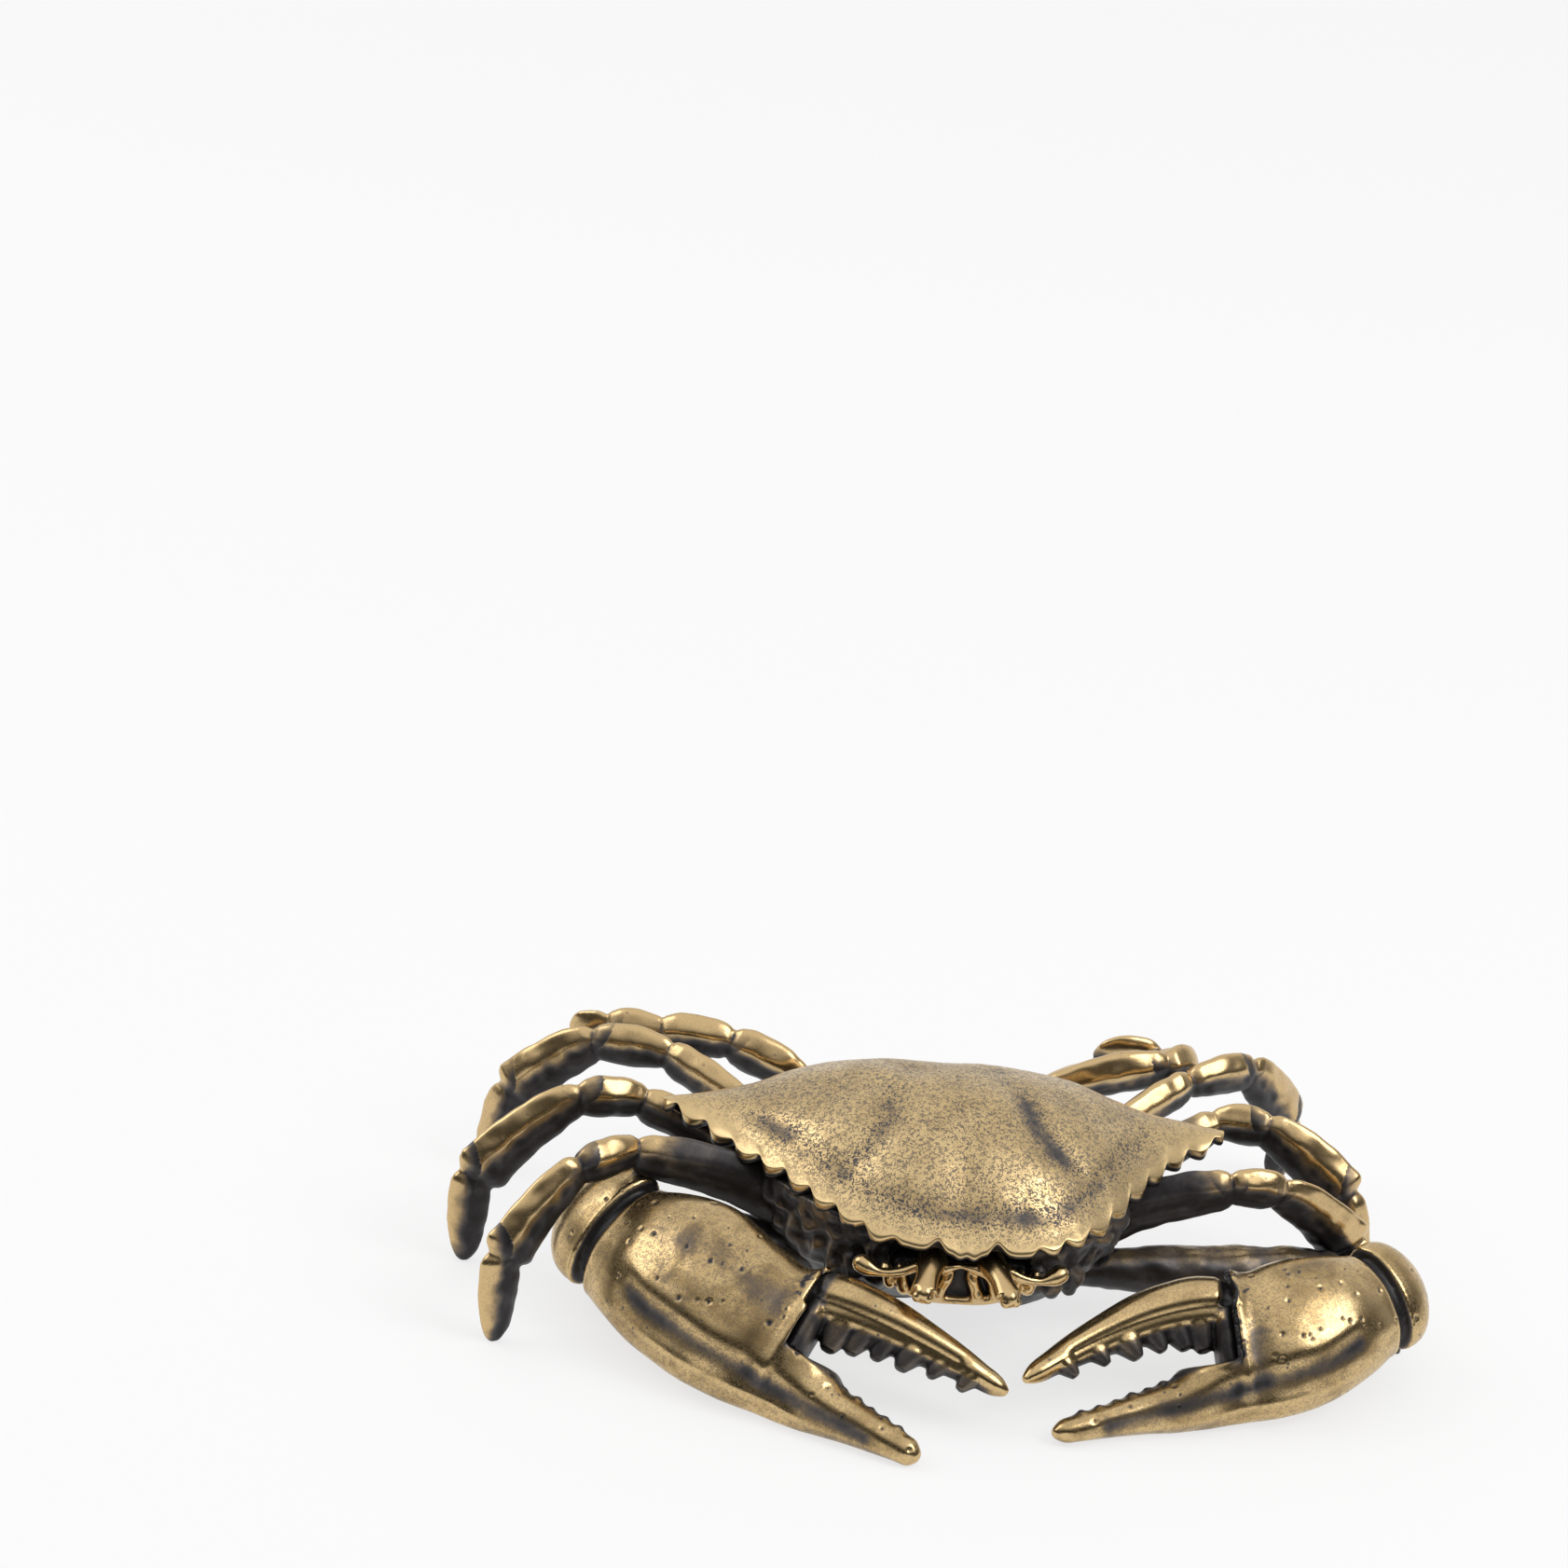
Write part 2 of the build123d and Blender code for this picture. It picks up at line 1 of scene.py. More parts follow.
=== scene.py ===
import math
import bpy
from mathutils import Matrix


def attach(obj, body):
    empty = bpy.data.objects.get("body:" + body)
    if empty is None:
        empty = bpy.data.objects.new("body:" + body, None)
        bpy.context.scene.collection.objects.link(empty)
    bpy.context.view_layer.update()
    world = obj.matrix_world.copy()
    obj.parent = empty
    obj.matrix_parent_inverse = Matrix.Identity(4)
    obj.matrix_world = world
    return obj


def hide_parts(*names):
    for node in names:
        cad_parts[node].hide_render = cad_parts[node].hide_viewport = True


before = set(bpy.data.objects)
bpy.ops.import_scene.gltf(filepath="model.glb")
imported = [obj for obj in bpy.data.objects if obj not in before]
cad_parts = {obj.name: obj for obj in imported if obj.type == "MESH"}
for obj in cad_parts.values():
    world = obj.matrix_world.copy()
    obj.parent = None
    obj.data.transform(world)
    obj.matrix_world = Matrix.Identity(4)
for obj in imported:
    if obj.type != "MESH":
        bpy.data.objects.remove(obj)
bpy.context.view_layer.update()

from types import SimpleNamespace

import bmesh
import bpy
import numpy as np
from mathutils import Matrix, Vector, noise
from mathutils.bvhtree import BVHTree
from mathutils.kdtree import KDTree

print("frame loaded:", len(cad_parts), "nodes")

# Pieces are modelled in millimetres about the frame's origin and shrunk to metres at the end.
mm = 0.001
crab = {
    "middle": Vector((-0.65, 2.35, 0.0)),  # the crab's middle on the table
    "ringSides": 44,                       # sides of a loft's rings
    "coneSides": 14, "ballSides": 20, "ballRings": 14, "rodSteps": 4,
    "steep": 0.9,                          # rods steeper than this are turned about another side
    "softness": 0.5, "pitSizes": (0.6, 1.3),
    "quickVoxel": 1.6,
    "seed": 11,
}
rng = np.random.default_rng(crab["seed"])
up = Vector((0, 0, 1))
sides = {"left": 1, "right": -1}
casts = {}  # node name: mesh in mm, slot, and what is known of its patina and painted shade, and of its polish and painted highlights


def spot(x, y, z):
    return Vector((x, y, z)) + crab["middle"]


# Lines and shapes

def bendPoint(curve, share):  # quadratic bend from start to end, leaving towards the middle point
    start, control, end = curve
    rest = 1 - share
    return start * rest ** 2 + control * (2 * rest * share) + end * share ** 2


def bendAxis(curve, share):
    start, control, end = curve
    return ((control - start) * (1 - share) + (end - control) * share).normalized()


def shapeCurve(rows, column=1, levelStart=False):  # smooth curve through the rows of a table
    xs = np.array([row[0] for row in rows], dtype=float)
    ys = np.array([row[column] for row in rows], dtype=float)
    slopes = np.gradient(ys, xs)
    slopes[0] *= not levelStart

    def value(share):
        share = np.clip(share, xs[0], xs[-1])
        index = np.clip(np.searchsorted(xs, share) - 1, 0, len(xs) - 2)
        width = xs[index + 1] - xs[index]
        t = (share - xs[index]) / width
        low = (2 * t ** 3 - 3 * t ** 2 + 1) * ys[index] + (t ** 3 - 2 * t ** 2 + t) * slopes[index] * width
        high = (3 * t ** 2 - 2 * t ** 3) * ys[index + 1] + (t ** 3 - t ** 2) * slopes[index + 1] * width
        return low + high

    return value


def ease(low, high, value):  # smooth step, for numbers and arrays
    t = np.clip((value - low) / (high - low), 0.0, 1.0)
    return t * t * (3 - 2 * t)


# Lofts: rings of a circle, shaped, placed and bridged

def ringEdges(verts):
    members = set(verts)
    return list({edge for vert in verts for edge in vert.link_edges if edge.other_vert(vert) in members})


def addLoft(bm, stations, side, flip=1, section=None):
    rings = []
    for index, (centre, axis, halfSide, halfOver) in enumerate(stations):
        across = (side - axis * side.dot(axis)).normalized()
        over = axis.cross(across) * flip
        isEnd = index in (0, len(stations) - 1)
        made = bmesh.ops.create_circle(bm, cap_ends=isEnd, segments=crab["ringSides"], radius=1.0)
        if section:
            for vert in made["verts"]:
                vert.co.x, vert.co.y = section(vert.co.x, vert.co.y)
        turn = Matrix((across * halfSide, over * halfOver, axis)).transposed().to_4x4()
        bmesh.ops.transform(bm, matrix=Matrix.Translation(centre) @ turn, verts=made["verts"])
        rings.append(made["verts"])
    for low, high in zip(rings, rings[1:]):
        bmesh.ops.bridge_loops(bm, edges=ringEdges(low) + ringEdges(high))


def addTube(bm, rows, side, flip=1, section=None, steps=20):  # rows of a point and two half sizes
    runs = np.concatenate(([0.0], np.cumsum([(b[0] - a[0]).length for a, b in zip(rows, rows[1:])])))
    table = [(run, *point, halfSide, halfOver) for run, (point, halfSide, halfOver) in zip(runs, rows)]
    curves = [shapeCurve(table, column) for column in range(1, 6)]
    total = runs[-1]
    nudge = 0.01 * total  # to either side, for the tube's direction
    stations = []
    for run in sorted({*np.linspace(0, total, steps), *runs}):
        before, after = max(run - nudge, 0.0), min(run + nudge, total)
        axis = Vector([curve(after) - curve(before) for curve in curves[:3]]).normalized()
        centre = Vector([curve(run) for curve in curves[:3]])
        stations.append((centre, axis, curves[3](run), curves[4](run)))
    addLoft(bm, stations, side, flip, section)


def hornRows(curve, half, shape):
    return [(bendPoint(curve, share), half[0] * swell, half[1] * swell) for share, swell in shape]


def addRod(bm, start, end, radius):
    axis = (end - start).normalized()
    side = up if abs(axis.z) < crab["steep"] else Vector((1, 0, 0))
    addLoft(bm, [(start, axis, radius, radius), (end, axis, radius, radius)], side)


def addCone(bm, base, axis, radius, tipRadius, height):
    turn = up.rotation_difference(axis).to_matrix().to_4x4()
    bmesh.ops.create_cone(
        bm, cap_ends=True, segments=crab["coneSides"],
        radius1=radius, radius2=tipRadius, depth=height,
        matrix=Matrix.Translation(base + axis * height / 2) @ turn,
    )


def addBall(bm, centre, radius, stretch=None):
    place = Matrix.Translation(centre)
    if stretch:
        place = place @ Matrix.Diagonal((*stretch, 1.0))
    bmesh.ops.create_uvsphere(
        bm, u_segments=crab["ballSides"], v_segments=crab["ballRings"], radius=radius, matrix=place,
    )


def castFrom(bm, name, voxel, relax):  # one skin over everything in the bmesh
    bmesh.ops.recalc_face_normals(bm, faces=bm.faces)
    rough = bpy.data.meshes.new(name + "Rough")
    bm.to_mesh(rough)
    bm.free()
    holder = bpy.data.objects.new(name + "Holder", rough)
    bpy.context.scene.collection.objects.link(holder)
    skin = holder.modifiers.new("skin", "REMESH")
    skin.mode = "VOXEL"
    skin.voxel_size = voxel * 1.0
    soft = holder.modifiers.new("soft", "SMOOTH")
    soft.factor = crab["softness"]
    soft.iterations = relax
    graph = bpy.context.evaluated_depsgraph_get()
    mesh = bpy.data.meshes.new_from_object(holder.evaluated_get(graph))
    mesh.name = name
    bpy.data.objects.remove(holder)
    bpy.data.meshes.remove(rough)
    return mesh


# Carving: moves of the skin's points

def pointsOf(mesh):
    flat = np.empty(len(mesh.vertices) * 3)
    mesh.vertices.foreach_get("co", flat)
    return flat.reshape(-1, 3)


def normalsOf(mesh):
    flat = np.empty(len(mesh.vertices) * 3)
    mesh.vertex_normals.foreach_get("vector", flat)
    return flat.reshape(-1, 3)


def movePoints(mesh, points):
    mesh.vertices.foreach_set("co", points.ravel())
    mesh.update()


def lineDistance(points, line):
    best = np.full(len(points), np.inf)
    for start, end in zip(line, line[1:]):
        start, run = np.array(start), np.array(end) - np.array(start)
        t = np.clip((points - start) @ run / (run @ run), 0, 1)
        best = np.minimum(best, np.linalg.norm(points - start - t[:, None] * run, axis=1))
    return best


def engrave(mesh, line, width, depth):  # a negative depth raises a ridge
    points = pointsOf(mesh)
    cut = depth * np.exp(-(lineDistance(points, line) / width) ** 2)
    movePoints(mesh, points - normalsOf(mesh) * cut[:, None])


def pitSurface(mesh, count, radius, depth, allowed):  # pits of many sizes about the radius
    points, normals = pointsOf(mesh), normalsOf(mesh)
    tree = KDTree(len(points))
    for index, point in enumerate(points):
        tree.insert(point, index)
    tree.balance()
    moved = points.copy()
    for index in rng.choice(np.flatnonzero(allowed), count):
        reach = radius * rng.uniform(*crab["pitSizes"])
        for _, near, gap in tree.find_range(points[index], reach):
            moved[near] -= normals[near] * depth * (1 - (gap / reach) ** 2) ** 2
    movePoints(mesh, moved)


def unevenness(points, scale):  # slow noise from -1 to 1
    return np.array([noise.noise(Vector(point) / scale) for point in points])


def lumpSurface(mesh, scale, height, weight=1.0):
    points = pointsOf(mesh)
    push = unevenness(points, scale) * height * weight
    movePoints(mesh, points + normalsOf(mesh) * push[:, None])


def neighbourMean(points, edges, rounds):
    size = len(points)
    count = np.bincount(edges.ravel(), minlength=size)[:, None]
    for _ in range(rounds):
        total = np.stack([
            np.bincount(edges[:, 0], points[edges[:, 1], k], size)
            + np.bincount(edges[:, 1], points[edges[:, 0], k], size)
            for k in range(3)
        ], axis=1)
        points = (points + total / count) / 2
    return points


def edgesOf(mesh):
    flat = np.empty(len(mesh.edges) * 2, dtype=np.int64)
    mesh.edges.foreach_get("vertices", flat)
    return flat.reshape(-1, 2)


def standOnTable(mesh):
    points = pointsOf(mesh)
    points[:, 2] = np.maximum(points[:, 2], 0.0)
    movePoints(mesh, points)


def keepCast(node, mesh, slotName, soot=0.0, polishAndHighlight=0.0):
    casts[node] = {"mesh": mesh, "slot": slotName, "soot": soot, "polishAndHighlight": polishAndHighlight}


# Carapace: a grid shaped into the toothed dome and thickened downwards

shell = {
    "halfWidth": 19.0, "front": 13.0, "rear": 10.0,
    "crest": 16.5, "rimFront": 10.3, "rimTip": 12.3, "rimPower": 1.5,
    # share of the half width, then shares of front depth, rear depth and rise
    "sections": ((0.0, 1.0, 1.0, 1.0), (0.26, 0.94, 0.99, 0.89), (0.47, 0.71, 0.86, 0.65),
                 (0.68, 0.37, 0.54, 0.35), (0.87, 0.08, 0.31, 0.16), (1.0, -0.05, 0.17, 0.04)),
    "fuller": 1.1, "fullerAt": 0.42, "fullerWidth": 0.22,   # the left front stands a little further out
    "grid": (280, 150), "slopeStep": 0.004, "leastDepth": 0.5, "mostAcross": 1.25,
    # knobs along the front edge, between two shares of the half width
    "teeth": 8, "teethFrom": 0.25, "teethTo": 0.96, "toothLean": 1.15, "toothSharp": 0.55,
    "gapDepth": 0.36, "tipReach": 0.14, "toothFade": 0.5,
    "toothVary": 0.25, "varyTurns": (5.1, 1.3), "rowFrom": (-0.2, 0.25), "rowTo": 0.3, "edgeSteps": 400,
    "undercut": 1.1, "hang": 0.16, "hangFrom": 0.1, "hangTo": 0.5,
    # painted shade: black in the gaps between the teeth and dark under the rim's edge
    "gapShade": 1.0, "hangShade": 0.9, "hangReach": 0.5,
    "orbitX": 1.9, "orbitWidth": 0.6, "orbitDepth": 0.6,
    "browTeeth": 4, "browReach": 0.2,
    "lip": 0.26, "rearLip": 0.13, "lipWidth": 0.55,
    "channel": 0.16, "channelAt": 1.9, "channelWidth": 0.7, "channelFrom": 0.75, "channelTo": 0.5,
    "channelSoot": 0.42, "crestSoot": 0.06, "crestFrom": -3.0, "crestTo": 4.0,
    "edgeWall": 0.58, "frontWall": 0.42, "wall": 1.6, "wallFade": 1.6, "wallFrom": 0.2, "wallTo": 0.55,
    "rimReach": 0.35, "rimRounds": 5,   # the rim is rounded off
    "shine": 0.7, "shineWidth": 0.9, "wingShine": 0.4, "wingFrom": 0.6, "wingTo": 0.9,
    "fainter": 0.6, "halfFade": 2.0,    # the channel is weaker on the right half
    "waves": ((2.6, 0.12, 3.0), (0.6, 0.025, 7.0)),   # scale and height of the unevenness, and its layer
    "grooves": (  # x, y about the middle, mirrored; width; depth; soot on the left and on the right half
        (((4.1, -1.8), (4.5, -3.0), (5.0, -4.8), (6.2, -6.4), (7.4, -7.4)), 1.1, 0.32, 0.56, 0.32),
        (((13.4, -1.2), (12.0, -2.8), (10.8, -4.1)), 0.65, 0.12, 0.08, 0.32),
        (((4.1, -1.8), (3.2, 0.8), (3.4, 3.0)), 1.3, 0.08, 0.2, 0.14),
        (((4.9, -9.6), (3.4, -10.7)), 1.1, 0.06, 0.2, 0.14),
    ),
    "grooveFar": (1.35, 0.6), "grooveNear": 0.45,   # where a groove has faded out and where it starts to
    "swells": (  # x, y about the middle, mirrored; radius; height
        (2.2, -8.0, 2.6, 0.35), (9.5, -4.5, 3.2, 0.28), (1.8, -3.6, 2.4, 0.22), (9.0, 3.0, 4.0, 0.2),
    ),
}
shellShares = [shapeCurve(shell["sections"], column, True) for column in (1, 2, 3)]


def shellProfile(share, sign):
    fuller = shell["fuller"] * bump(share, shell["fullerAt"], shell["fullerWidth"]) * (sign > 0)
    front = -shell["front"] * shellShares[0](share) - fuller
    rear = shell["rear"] * shellShares[1](share)
    rise = (shell["crest"] - shell["rimFront"]) * shellShares[2](share)
    rim = shell["rimFront"] + (shell["rimTip"] - shell["rimFront"]) * share ** shell["rimPower"]
    return front, rear, rise, rim


def bump(value, middle, width):
    return np.exp(-((value - middle) / width) ** 2)


def edgeTeeth(share, x, sign):  # how far the front edge stands out, and how deep in a gap each point is
    shares = np.linspace(0, 1, shell["edgeSteps"])
    edge = np.stack([shares * shell["halfWidth"], shellProfile(shares, -1)[0]], axis=1)
    run = np.concatenate(([0.0], np.cumsum(np.linalg.norm(np.diff(edge, axis=0), axis=1))))
    runFrom, runTo = np.interp([shell["teethFrom"], shell["teethTo"]], shares, run)
    phase = (np.interp(share, shares, run) - runFrom) / (runTo - runFrom) * shell["teeth"]
    cycle = np.clip(phase, 0, shell["teeth"]) % 1.0
    tooth = np.sin(np.pi * cycle ** shell["toothLean"]) ** shell["toothSharp"]
    row = ease(*shell["rowFrom"], phase) * ease(shell["teeth"] + shell["rowTo"], shell["teeth"], phase)
    toothTurn, sideTurn = shell["varyTurns"]
    # no two teeth alike
    vary = 1 + shell["toothVary"] * np.sin(toothTurn * np.floor(phase) + sideTurn * sign)
    reach = row * ((shell["gapDepth"] + shell["tipReach"] * vary) * tooth - shell["gapDepth"] * vary)
    orbit = bump(x, shell["orbitX"], shell["orbitWidth"])
    brow = np.abs(np.sin(np.pi * x / shell["orbitX"] * shell["browTeeth"] / 2)) * (x < shell["orbitX"])
    return reach - shell["orbitDepth"] * orbit + shell["browReach"] * brow, row * (1 - tooth) * vary


def makeShell():
    bm = bmesh.new()
    bmesh.ops.create_grid(bm, x_segments=shell["grid"][0], y_segments=shell["grid"][1], size=1.0)
    flat = np.array([vert.co for vert in bm.verts])
    sign = np.where(flat[:, 0] >= 0, 1.0, -1.0)
    share = np.clip(np.abs(flat[:, 0]), 0, 1)
    across = 0.5 * flat[:, 1] + 0.5 * np.sin(flat[:, 1] * np.pi / 2)  # more rows near the edges
    front, rear, rise, rim = shellProfile(share, sign)
    x = share * shell["halfWidth"]
    y = (front + rear) / 2 + across * (rear - front) / 2
    step = shell["slopeStep"]
    outwards, inwards = (shellProfile(share + way * step, sign)[0] for way in (1, -1))
    slope = (outwards - inwards) / (2 * step * shell["halfWidth"])
    length = np.sqrt(1 + slope ** 2)
    toEdge, toRear = (y - front) / length, rear - y
    fade = bump(toEdge, 0, shell["toothFade"])
    reach, gap = edgeTeeth(share, x, sign)
    reach, gap = reach * fade, gap * fade
    outX, outY = slope / length * sign, -1 / length
    x, y = x + reach * slope / length, y - reach / length
    # heights are read where the points now stand, so that the teeth are cut and not pleated
    share = np.clip(x / shell["halfWidth"], 0, 1)
    front, rear, rise, rim = shellProfile(share, sign)
    across = (2 * y - front - rear) / np.maximum(rear - front, shell["leastDepth"])
    across = np.clip(across, -shell["mostAcross"], shell["mostAcross"])
    z = rim + rise * (1 - across ** 2)
    z += shell["lip"] * bump(toEdge, 0, shell["lipWidth"])
    z += shell["rearLip"] * bump(toRear, 0, shell["lipWidth"])
    channel = bump(toEdge, shell["channelAt"], shell["channelWidth"])
    channel *= ease(shell["channelFrom"], shell["channelTo"], share)
    z -= shell["channel"] * channel
    onLeft = ease(-shell["halfFade"], shell["halfFade"], x * sign)
    weight = shell["fainter"] + (1 - shell["fainter"]) * onLeft
    soot = shell["channelSoot"] * channel * weight
    soot += shell["crestSoot"] * ease(shell["crestFrom"], shell["crestTo"], y)
    level = np.stack([x, y, np.zeros_like(x)], axis=1)
    for line, width, depth, leftDirt, rightDirt in shell["grooves"]:
        groove = bump(lineDistance(level, [(px, py, 0.0) for px, py in line]), 0, width)
        reach = math.dist(line[0], line[-1]) / 2
        fromMiddle = np.hypot(x - (line[0][0] + line[-1][0]) / 2, y - (line[0][1] + line[-1][1]) / 2)
        farShare, further = shell["grooveFar"]
        groove *= ease(farShare * reach + further, shell["grooveNear"] * reach, fromMiddle)
        z -= depth * groove
        soot += (rightDirt + (leftDirt - rightDirt) * onLeft) * groove
    for swellX, swellY, radius, height in shell["swells"]:
        z += height * np.exp(-((x - swellX) ** 2 + (y - swellY) ** 2) / radius ** 2)
    x = x * sign
    for scale, height, layer in shell["waves"]:
        z += height * unevenness(np.stack([x, y, np.full_like(x, layer)], axis=1), scale)
    away = np.maximum(np.minimum(toEdge, toRear), 0.0)
    toWing = ease(shell["wallFrom"], shell["wallTo"], share)
    edgeWall = shell["frontWall"] + (shell["edgeWall"] - shell["frontWall"]) * toWing
    wall = edgeWall + (shell["wall"] - edgeWall) * (1 - np.exp(-away / shell["wallFade"]))
    shine = shell["shine"] * bump(away, 0, shell["shineWidth"])
    shine += shell["wingShine"] * ease(shell["wingFrom"], shell["wingTo"], share)
    kept = {"wall": wall, "dirt": soot, "shine": shine, "gap": gap, "away": away}
    layers = {name: bm.verts.layers.float.new(name) for name in kept}
    cut = shell["undercut"] * gap
    hang = shell["hang"] * (gap - fade * ease(shell["hangFrom"], shell["hangTo"], share))
    under = np.stack([-outX * cut, -outY * cut, hang], axis=1)  # from the upper skin to the lower one
    moves = bm.verts.layers.float_vector.new("under")
    for index, vert in enumerate(bm.verts):
        vert.co = spot(x[index], y[index], z[index])
        vert[moves] = under[index]
        for name, values in kept.items():
            vert[layers[name]] = values[index]
    made = bmesh.ops.extrude_face_region(bm, geom=bm.faces[:])
    for vert in (item for item in made["geom"] if isinstance(item, bmesh.types.BMVert)):
        vert.co += vert[moves]
        vert.co.z -= vert[layers["wall"]]
        # painted shade on the lower skin, in the gaps between the teeth and under the rim's edge
        hanging = math.exp(-(vert[layers["away"]] / shell["hangReach"]) ** 2)
        vert[layers["dirt"]] += shell["gapShade"] * vert[layers["gap"]] + shell["hangShade"] * hanging
    rimVerts = [vert for vert in bm.verts if vert[layers["away"]] < shell["rimReach"]]
    for _ in range(shell["rimRounds"]):
        bmesh.ops.smooth_vert(
            bm, verts=rimVerts, factor=0.5, use_axis_x=True, use_axis_y=True, use_axis_z=True,
        )
    bmesh.ops.recalc_face_normals(bm, faces=bm.faces)
    mesh = bpy.data.meshes.new("shellCast")
    bm.to_mesh(mesh)
    bm.free()
    values = {}
    for name in kept:
        values[name] = np.empty(len(mesh.vertices), dtype=np.float32)
        mesh.attributes[name].data.foreach_get("value", values[name])
        mesh.attributes.remove(mesh.attributes[name])
    mesh.attributes.remove(mesh.attributes["under"])
    keepCast("carapace", mesh, "shell_brass", values["dirt"], values["shine"])


makeShell()
print("carapace modelled")


# Underbody: level rings, with a carved breastplate under it and lumps under the shell's edge

belly = {
    "y": -1.5, "faceY": -10.6,
    "levels": (  # height, half width and half depth
        (2.4, 6.2, 5.0), (3.2, 8.2, 6.9), (4.2, 9.8, 8.4),
        (6.4, 11.8, 9.8), (9.0, 12.8, 10.2), (10.9, 12.9, 10.2),
    ),
    "flapLine": ((2.6, 6.6), (2.2, 3.6), (0.9, 0.6), (0.5, -2.2)),  # x, y of the tail flap's edge, mirrored
    "flapCross": (5.4, 3.6, 1.9, 0.4),
    "flapHalf": 1.8, "crossLine": (0.22, 0.2),   # width and depth of a carved line
    "ribs": 4, "ribSpread": 9.4, "ribShift": 0.62, "ribIn": 1.2, "ribOut": 8.5,
    "ribFan": 1.25, "ribBack": 0.6, "ribHeight": 3.6, "ribLine": (0.3, 0.3),
    "cutHalf": 4.6, "cutFrom": 6.2, "cutSlope": 1.3,   # cut back behind the mouth plate
    # x, y, z and radius
    "mouthLumps": ((5.3, -10.3, 7.3, 1.0), (6.7, -9.7, 7.0, 0.95), (8.0, -8.9, 6.7, 0.9)),
    "lumpStretch": (0.8, 0.9, 1.5),
    # the rough sides, between heights
    "lumps": 0.55, "lumpScale": 1.1, "lumpFrom": (5.0, 7.0), "lumpTo": (11.0, 9.8),
    "waves": 0.3, "waveScale": 2.6, "waveFrom": (4.0, 6.0),
    "voxel": 0.2, "relax": 4, "soot": 0.7,
}


def makeBelly():
    bm = bmesh.new()
    rows = [(spot(0, belly["y"], z), up, halfX, halfY) for z, halfX, halfY in belly["levels"]]
    addLoft(bm, rows, Vector((1, 0, 0)))
    for sign in sides.values():
        for x, y, z, radius in belly["mouthLumps"]:
            addBall(bm, spot(sign * x, y, z), radius, belly["lumpStretch"])
    mesh = castFrom(bm, "bellyCast", belly["voxel"], belly["relax"])
    points = pointsOf(mesh)
    below = np.maximum(belly["cutFrom"] - points[:, 2], 0)
    face = belly["faceY"] + crab["middle"].y + belly["cutSlope"] * below
    inMouth = np.abs(points[:, 0] - crab["middle"].x) < belly["cutHalf"]
    points[:, 1] = np.where(inMouth, np.maximum(points[:, 1], face), points[:, 1])
    movePoints(mesh, points)
    height = points[:, 2]
    onSides = ease(*belly["lumpFrom"], height) * ease(*belly["lumpTo"], height)
    lumpSurface(mesh, belly["lumpScale"], belly["lumps"], onSides)
    lumpSurface(mesh, belly["waveScale"], belly["waves"], ease(*belly["waveFrom"], height))
    floorZ = belly["levels"][0][0]
    for sign in sides.values():
        engrave(mesh, [spot(sign * x, y, floorZ) for x, y in belly["flapLine"]], *belly["ribLine"])
        for index in range(belly["ribs"]):
            y = belly["ribSpread"] * (index / (belly["ribs"] - 1) - belly["ribShift"])
            outerY = y * belly["ribFan"] - belly["ribBack"]
            outerEnd = spot(sign * belly["ribOut"], outerY, belly["ribHeight"])
            engrave(mesh, [spot(sign * belly["ribIn"], y, floorZ), outerEnd], *belly["ribLine"])
    for y in belly["flapCross"]:
        ends = [spot(way * belly["flapHalf"], y, floorZ) for way in (-1, 1)]
        engrave(mesh, ends, *belly["crossLine"])
    return mesh


# the whole underbody is darkened, as patina and painted shade under the shell
keepCast("underbody", makeBelly(), "limb_brass", belly["soot"])
print("underbody modelled")


# Mouth plate with its fan of ribs, the lip under it and the feelers beside the eyes

mouth = {
    "faceY": -10.5, "top": 9.3, "bottom": 6.0, "topHalf": 4.9, "lowHalf": 3.4, "cornerPower": 0.6,
    "plate": ((0.0, 1.0), (0.7, 1.0), (1.0, 0.94)),   # depth from the face in mm, share of its size
    "ribFront": -11.7, "ribRadius": 0.4, "flatter": 1.4, "ribLean": 0.3,
    "bars": (  # x, z of start, bend and end on the plate's face, mirrored
        ((2.5, 6.2), (2.6, 8.9), (0.0, 8.8)), ((1.5, 6.2), (1.1, 7.2), (0.55, 8.5)),
        ((3.4, 6.5), (3.9, 7.5), (4.0, 8.8)), ((4.3, 7.0), (4.9, 7.8), (5.0, 8.8)),
    ),
    "ribShape": ((0.0, 0.4), (0.1, 0.9), (0.5, 1.0), (0.85, 0.9), (1.0, 0.4)),
    "lip": ((-3.8, 6.9), (0.0, 5.5), (3.8, 6.9)), "lipRadius": 0.32, "lipBack": 0.1,
    "lipShape": ((0.0, 0.5), (0.1, 1.0), (0.5, 1.0), (0.9, 1.0), (1.0, 0.5)),
    "feeler": ((3.0, -12.2, 8.9), (5.4, -12.9, 7.8), (7.0, -11.3, 8.8)), "feelerRadius": 0.36,
    "feelerSunk": 0.2,
    "feelerShape": ((0.0, 1.0), (0.25, 0.9), (0.55, 0.8), (0.8, 1.7), (0.95, 1.4), (1.0, 0.6)),
    "voxel": 0.1, "relax": 2,
    # painted shade with patina behind the ribs, and a painted highlight of gold and polish on them
    "sunkFrom": -0.3, "sunkTo": 0.2, "soot": 0.85, "ribHighlightGold": 0.5, "ribHighlight": 0.9,
}


